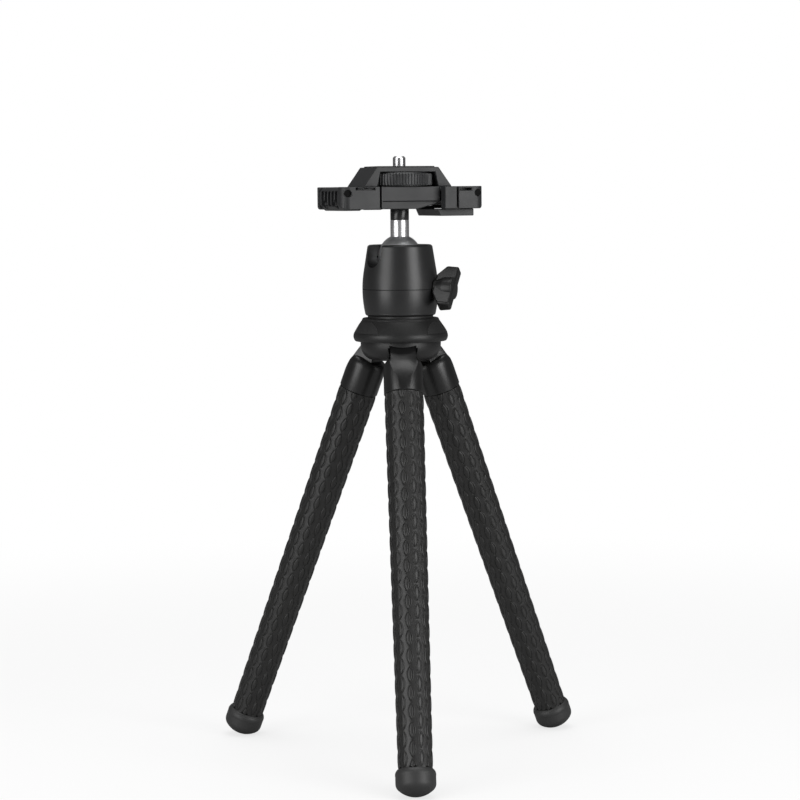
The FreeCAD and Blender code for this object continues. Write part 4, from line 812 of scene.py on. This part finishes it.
def makeKnob():
    bpy.ops.mesh.primitive_cube_add(size=1)
    piece = bpy.context.object
    piece.name = "wing_knob"
    startEdit(piece)
    # outer face and root face of the bar
    near = 1e-4
    for way, distance, halfSpan, halfWidth in (
        (-1, knob["reach"], knob["halfSpan"], knob["halfWidth"]),
        (1, knob["rootStart"], knob["rootHalfSpan"], knob["rootHalfWidth"]),
    ):
        selectWhere(piece, "VERT", lambda co: co.y * way > 0.5 - near)
        bpy.ops.transform.resize(value=(2 * halfWidth, 0, 2 * halfSpan), center_override=(0, 0, 0))
        bpy.ops.transform.translate(value=(0, -distance, 0))
    # a ring that gives the wing tips their depth
    selectWhere(piece, "FACE", lambda co: co.y < -knob["reach"] + near)
    bpy.ops.mesh.extrude_region_move(TRANSFORM_OT_translate={"value": (0, 0, 0)})
    endEdit()
    startEdit(piece)
    bpy.ops.mesh.select_all(action="SELECT")
    bpy.ops.mesh.remove_doubles(threshold=1e-7)
    bpy.ops.mesh.bisect(plane_co=(0, -knob["reach"] + knob["depth"], 0), plane_no=(0, 1, 0))
    selectWhere(piece, "VERT", lambda co: abs(co.y + knob["reach"] - knob["depth"]) < near and abs(co.z) > near)
    span = knob["rootHalfSpan"] + (knob["halfSpan"] - knob["rootHalfSpan"]) * (
        (knob["reach"] - knob["depth"] - knob["rootStart"]) / (knob["reach"] - knob["rootStart"])
    )
    bpy.ops.transform.resize(value=(1, 1, knob["halfSpan"] / span), center_override=(0, 0, 0))
    selectWhere(piece, "VERT", lambda co: abs(co.z) > knob["rootHalfSpan"] + near)
    bpy.ops.transform.resize(value=(knob["tipHalfWidth"] / knob["halfWidth"], 1, 1), center_override=(0, 0, 0))
    endEdit()
    finishMesh(piece)
    applyModifier(piece, "BEVEL", width=knob["edgeRound"], segments=5)
    bossStart = knob["bossStart"]
    middle = addTurned(
        "knobMiddle",
        [
            (knob["bossRadius"], bossStart),
            (knob["bossRadius"], bossStart + 0.0016),
            (knob["middleRadius"], bossStart + 0.0052),
            (knob["middleRadius"], knob["reach"] - knob["middleDrop"]),
        ],
        64,
    )
    applyModifier(
        middle, "BEVEL", width=knob["edgeRound"] / 2, segments=4, limit_method="ANGLE",
        angle_limit=math.radians(12),
    )
    middle.rotation_euler = (math.pi / 2, 0, 0)
    applyPlace(middle)
    middle.select_set(True)
    piece.select_set(True)
    bpy.context.view_layer.objects.active = piece
    bpy.ops.object.join()
    piece.rotation_euler = (0, math.radians(knob["wingAngle"]), 0)
    applyPlace(piece)
    piece.rotation_euler = (0, 0, math.radians(knob["turn"]))
    piece.location = (0, 0, knob["height"])
    finishMesh(piece, 50)
    return piece


wingKnob = makeKnob()
useMaterial(wingKnob, finishes["knob_black"])
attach(wingKnob, "lock")
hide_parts("lock_knob")
print("knob made")


# bowl of the hub: a round casting with three flared slots for the tongues and bores for the screws
bowl = {
    "floorRadius": 0.0135,
    "radius": 0.0203,
    "bottom": 0.20136,
    "curveEnd": 0.20936,
    "top": 0.21092,
    "curveSteps": 10,
    "points": 144,
    "slotHalfWidth": 0.0067,
    "slotRadius": 0.0049,
    "slotInner": 0.0112,
    "slotPoints": 48,
    "reach": 0.0260,
    "mouth": (0.0180, 0.00765, 0.0225, 0.0081),
    "flare": 0.0048,
    "bores": [(0, 0.0060), (0.0096, 0.0027)],
    "boreDepth": 0.0030,
    "edgeRound": 0.0005,
    "pinRadius": 0.00125,
    "pinHalfLength": 0.0074,
}


def makeBowl():
    rings = []
    for step in range(bowl["curveSteps"] + 1):
        turned = math.pi / 2 * step / bowl["curveSteps"]
        rings.append(
            (
                bowl["floorRadius"] + (bowl["radius"] - bowl["floorRadius"]) * math.sin(turned),
                bowl["curveEnd"] - (bowl["curveEnd"] - bowl["bottom"]) * math.cos(turned),
            )
        )
    rings.append((bowl["radius"], bowl["top"]))
    piece = addTurned("hub_bowl", rings, bowl["points"])
    half = bowl["slotHalfWidth"]
    below = bowl["bottom"] - 0.002
    near = 1e-5
    for around in legs.values():
        turned = math.radians(around)
        # the slot is round about the hinge pin and open downwards and outwards
        roof = addRod(bowl["slotRadius"], 2 * half, (0, -hingeRadius, hingeHeight), "X", bowl["slotPoints"])
        bpy.ops.mesh.primitive_cube_add(size=1)
        shaft = bpy.context.object
        shaft.scale = (2 * half * 0.9999, bowl["reach"] - bowl["slotInner"], hingeHeight - below)
        shaft.location = (0, -(bowl["reach"] + bowl["slotInner"]) / 2, (hingeHeight + below) / 2)
        applyPlace(shaft)
        # its mouth widens towards the bowl's wall
        bpy.ops.mesh.primitive_cube_add(size=1)
        mouth = bpy.context.object
        startPlace, rise, endPlace, endRise = bowl["mouth"]
        startEdit(mouth)
        for way, place, wide, high in (
            (1, startPlace, half, hingeHeight + rise - bowl["slotRadius"]),
            (-1, endPlace, half + bowl["flare"], hingeHeight + endRise - bowl["slotRadius"]),
        ):
            selectWhere(mouth, "VERT", lambda co: abs(co.y - way * 0.5) < near)
            bpy.ops.transform.resize(value=(2 * wide, 0, high - below), center_override=(0, 0, 0))
            bpy.ops.transform.translate(value=(0, -place, (high + below) / 2))
        endEdit()
        for cutter in (roof, shaft, mouth):
            cutter.rotation_euler = (0, 0, turned)
            applyPlace(cutter)
            joinWith(piece, cutter, "DIFFERENCE")
        for distance, radius in bowl["bores"]:
            place = (0, distance, bowl["bottom"] + bowl["boreDepth"] / 2 - 0.0005)
            bore = addRod(radius, bowl["boreDepth"] + 0.001, place, "Z")
            bore.rotation_euler = (0, 0, turned)
            applyPlace(bore)
            joinWith(piece, bore, "DIFFERENCE")
    finishMesh(piece, 35)
    addModifier(
        piece, "BEVEL", width=bowl["edgeRound"], segments=3, limit_method="ANGLE", angle_limit=math.radians(30),
        harden_normals=True,
    )
    return piece


hubBowl = makeBowl()
useMaterial(hubBowl, finishes["black_casting"])
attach(hubBowl, "hub")
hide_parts("hub_body")


# hinge pins, inside the bowl's walls
def makePins():
    piece = None
    for around in legs.values():
        pin = addRod(bowl["pinRadius"], 2 * bowl["pinHalfLength"], (0, -hingeRadius, hingeHeight), "X")
        pin.rotation_euler = (0, 0, math.radians(around))
        applyPlace(pin)
        if piece is None:
            piece = pin
            continue
        piece.select_set(True)
        pin.select_set(True)
        bpy.context.view_layer.objects.active = piece
        bpy.ops.object.join()
    piece.name = "hinge_pins"
    applyModifier(
        piece, "BEVEL", width=bowl["edgeRound"], segments=3, limit_method="ANGLE", angle_limit=math.radians(40),
    )
    finishMesh(piece)
    return piece


hingePins = makePins()
useMaterial(hingePins, finishes["dark_steel"])
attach(hingePins, "hub")
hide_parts("leg_pins")
print("bowl and pins made")

# clamp arms and the base's end: copies of the frame's with the panel lines, slots and pockets of the
# real ones cut in, each cut given along the clamp, across it and in height
clamp = {"turn": 18.8, "front": -0.0195, "edgeRound": 0.0004}
arms = {
    "fixed_arm": {
        "piece": "left_arm_shell",
        "body": "left_arm",
        "cuts": [
            ((-0.01800, -0.01715), (-0.0210, -0.0155), (0.2760, 0.2900)),
            ((-0.03080, -0.02060), (-0.0210, -0.0150), (0.28695, 0.28815)),
        ],
    },
    "clamp_base": {
        "piece": "base_shell",
        "body": "clamp",
        "cuts": [
            ((-0.0400, -0.0355), (across - 0.0018, across + 0.0018), (0.2790, 0.2864))
            for across in (-0.0096, -0.0048, 0.0, 0.0048, 0.0096)
        ],
    },
    "sliding_arm": {
        "piece": "right_arm_shell",
        "body": "right_arm",
        "cuts": [
            ((0.0232, 0.0241), (-0.0210, -0.0155), (0.2760, 0.2900)),
            ((0.0246, 0.0312), (-0.0210, -0.0150), (0.28640, 0.28760)),
        ],
    },
}


def makeArmShell(node, arm):
    makeActive(nodes[node])
    bpy.ops.object.duplicate(linked=False)
    piece = bpy.context.object
    piece.name = arm["piece"]
    piece.modifiers.clear()
    applyModifier(piece, "WELD", merge_threshold=1e-6)
    applyModifier(piece, "DECIMATE", decimate_type="DISSOLVE", angle_limit=math.radians(1))
    for cut in arm["cuts"]:
        bpy.ops.mesh.primitive_cube_add(size=1)
        cutter = bpy.context.object
        cutter.scale = [end - start for start, end in cut]
        cutter.location = [(end + start) / 2 for start, end in cut]
        applyPlace(cutter)
        cutter.rotation_euler = (0, 0, math.radians(clamp["turn"]))
        applyPlace(cutter)
        joinWith(piece, cutter, "DIFFERENCE")
    finishMesh(piece, 35)
    addModifier(
        piece, "BEVEL", width=clamp["edgeRound"], segments=3, limit_method="ANGLE",
        angle_limit=math.radians(32), harden_normals=True, use_clamp_overlap=False,
    )
    return piece


for node, arm in arms.items():
    shell = makeArmShell(node, arm)
    useMaterial(shell, finishes["clamp_plastic"])
    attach(shell, arm["body"])
    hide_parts(node)
print("arms made")

# painted shade: a dark, dull ring for the shadow in the fine groove round the housing, left out where the lock knob
# stands
seam = {
    "radius": 0.01906,
    "innerRadius": 0.01883,
    "height": 0.23711,
    "halfWidth": 0.00017,
    "points": 180,
    "gapRadius": 0.0062,
}


def makeSeamShade():
    radius, height, half = seam["radius"], seam["height"], seam["halfWidth"]
    deselectAll()
    bpy.ops.mesh.primitive_circle_add(
        vertices=seam["points"], radius=radius, location=(0, 0, height - half), fill_type="NOTHING"
    )
    piece = bpy.context.object
    piece.name = "housing_seam_shade"
    applyPlace(piece)
    startEdit(piece)
    bpy.ops.mesh.select_all(action="SELECT")
    size = seam["innerRadius"] / radius
    for rise, shrink in ((2 * half, 1), (0, size), (-2 * half, 1), (0, 1 / size)):
        bpy.ops.mesh.extrude_region_move(TRANSFORM_OT_translate={"value": (0, 0, rise)})
        bpy.ops.transform.resize(value=(shrink, shrink, 1), center_override=(0, 0, 0))
    endEdit()
    finishMesh(piece)
    gap = addRod(seam["gapRadius"], radius, (0, -radius, knob["height"]), "Y")
    gap.rotation_euler = (0, 0, math.radians(knob["turn"]))
    applyPlace(gap)
    joinWith(piece, gap, "DIFFERENCE")
    finishMesh(piece)
    return piece


housingSeamShade = makeSeamShade()
# the ring's near-black, dull colour is painted shade standing in for the groove's shadow
seamShade = mouldedMaterial(
    "seamShade", (0.004, 0.004, 0.004), 0.0004, 0.00001, 0.8, Specular_IOR_Level=0.2,
)
useMaterial(housingSeamShade, seamShade)
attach(housingSeamShade, "ball_head")
print("seam made")

# jaw under the right arm: its plate starts further out than the frame's
jaw = {
    "shift": 0.0078,
    "plateEnd": 0.0100,
    "plateTop": 0.27676,
    "rise": 0.00038,
    "slot": "clamp_plastic",
    "edgeRound": 0.0004,
}


def makeJawShell():
    makeActive(nodes["jaw_carriage"])
    bpy.ops.object.duplicate(linked=False)
    piece = bpy.context.object
    piece.name = "jaw_shell"
    piece.modifiers.clear()
    applyModifier(piece, "WELD", merge_threshold=1e-6)
    applyModifier(piece, "DECIMATE", decimate_type="DISSOLVE", angle_limit=math.radians(1))
    turned = math.radians(clamp["turn"])
    wayX, wayY = math.cos(turned), math.sin(turned)
    startEdit(piece)
    selectWhere(piece, "VERT", lambda co: co.x * wayX + co.y * wayY < jaw["plateEnd"])
    bpy.ops.transform.translate(value=(jaw["shift"] * wayX, jaw["shift"] * wayY, 0))
    selectWhere(piece, "VERT", lambda co: abs(co.z - jaw["plateTop"]) < 2e-5)
    bpy.ops.transform.translate(value=(0, 0, jaw["rise"]))
    endEdit()
    finishMesh(piece, 35)
    addModifier(
        piece, "BEVEL", width=jaw["edgeRound"], segments=3, limit_method="ANGLE",
        angle_limit=math.radians(32), harden_normals=True, use_clamp_overlap=False,
    )
    return piece


jawShell = makeJawShell()
useMaterial(jawShell, finishes[jaw["slot"]])
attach(jawShell, "jaw")
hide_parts("jaw_carriage")
print("jaw made")

# plain washers under and over the camera wheel, turning with it
washers = {
    "radius": 0.0140,
    "low": 0.28849,
    "high": 0.29554,
    "wheelLow": 0.28886,
    "wheelHigh": 0.29516,
    "rim": 0.00015,
    "points": 96,
}


def makeWashers():
    radius = washers["radius"]
    rim = washers["rim"]
    lower = [
        (radius - rim, washers["low"]),
        (radius, washers["low"] + rim),
        (radius, washers["wheelLow"] + rim),
    ]
    upper = [
        (radius, washers["wheelHigh"] - rim),
        (radius, washers["high"] - rim),
        (radius - rim, washers["high"]),
    ]
    piece = addTurned("wheel_washers", lower, washers["points"])
    other = addTurned("upperWasher", upper, washers["points"])
    piece.select_set(True)
    other.select_set(True)
    bpy.context.view_layer.objects.active = piece
    bpy.ops.object.join()
    finishMesh(piece)
    return piece


wheelWashers = makeWashers()
useMaterial(wheelWashers, finishes["wheel_plastic"])
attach(wheelWashers, "thumb_wheel")
print("washers made")
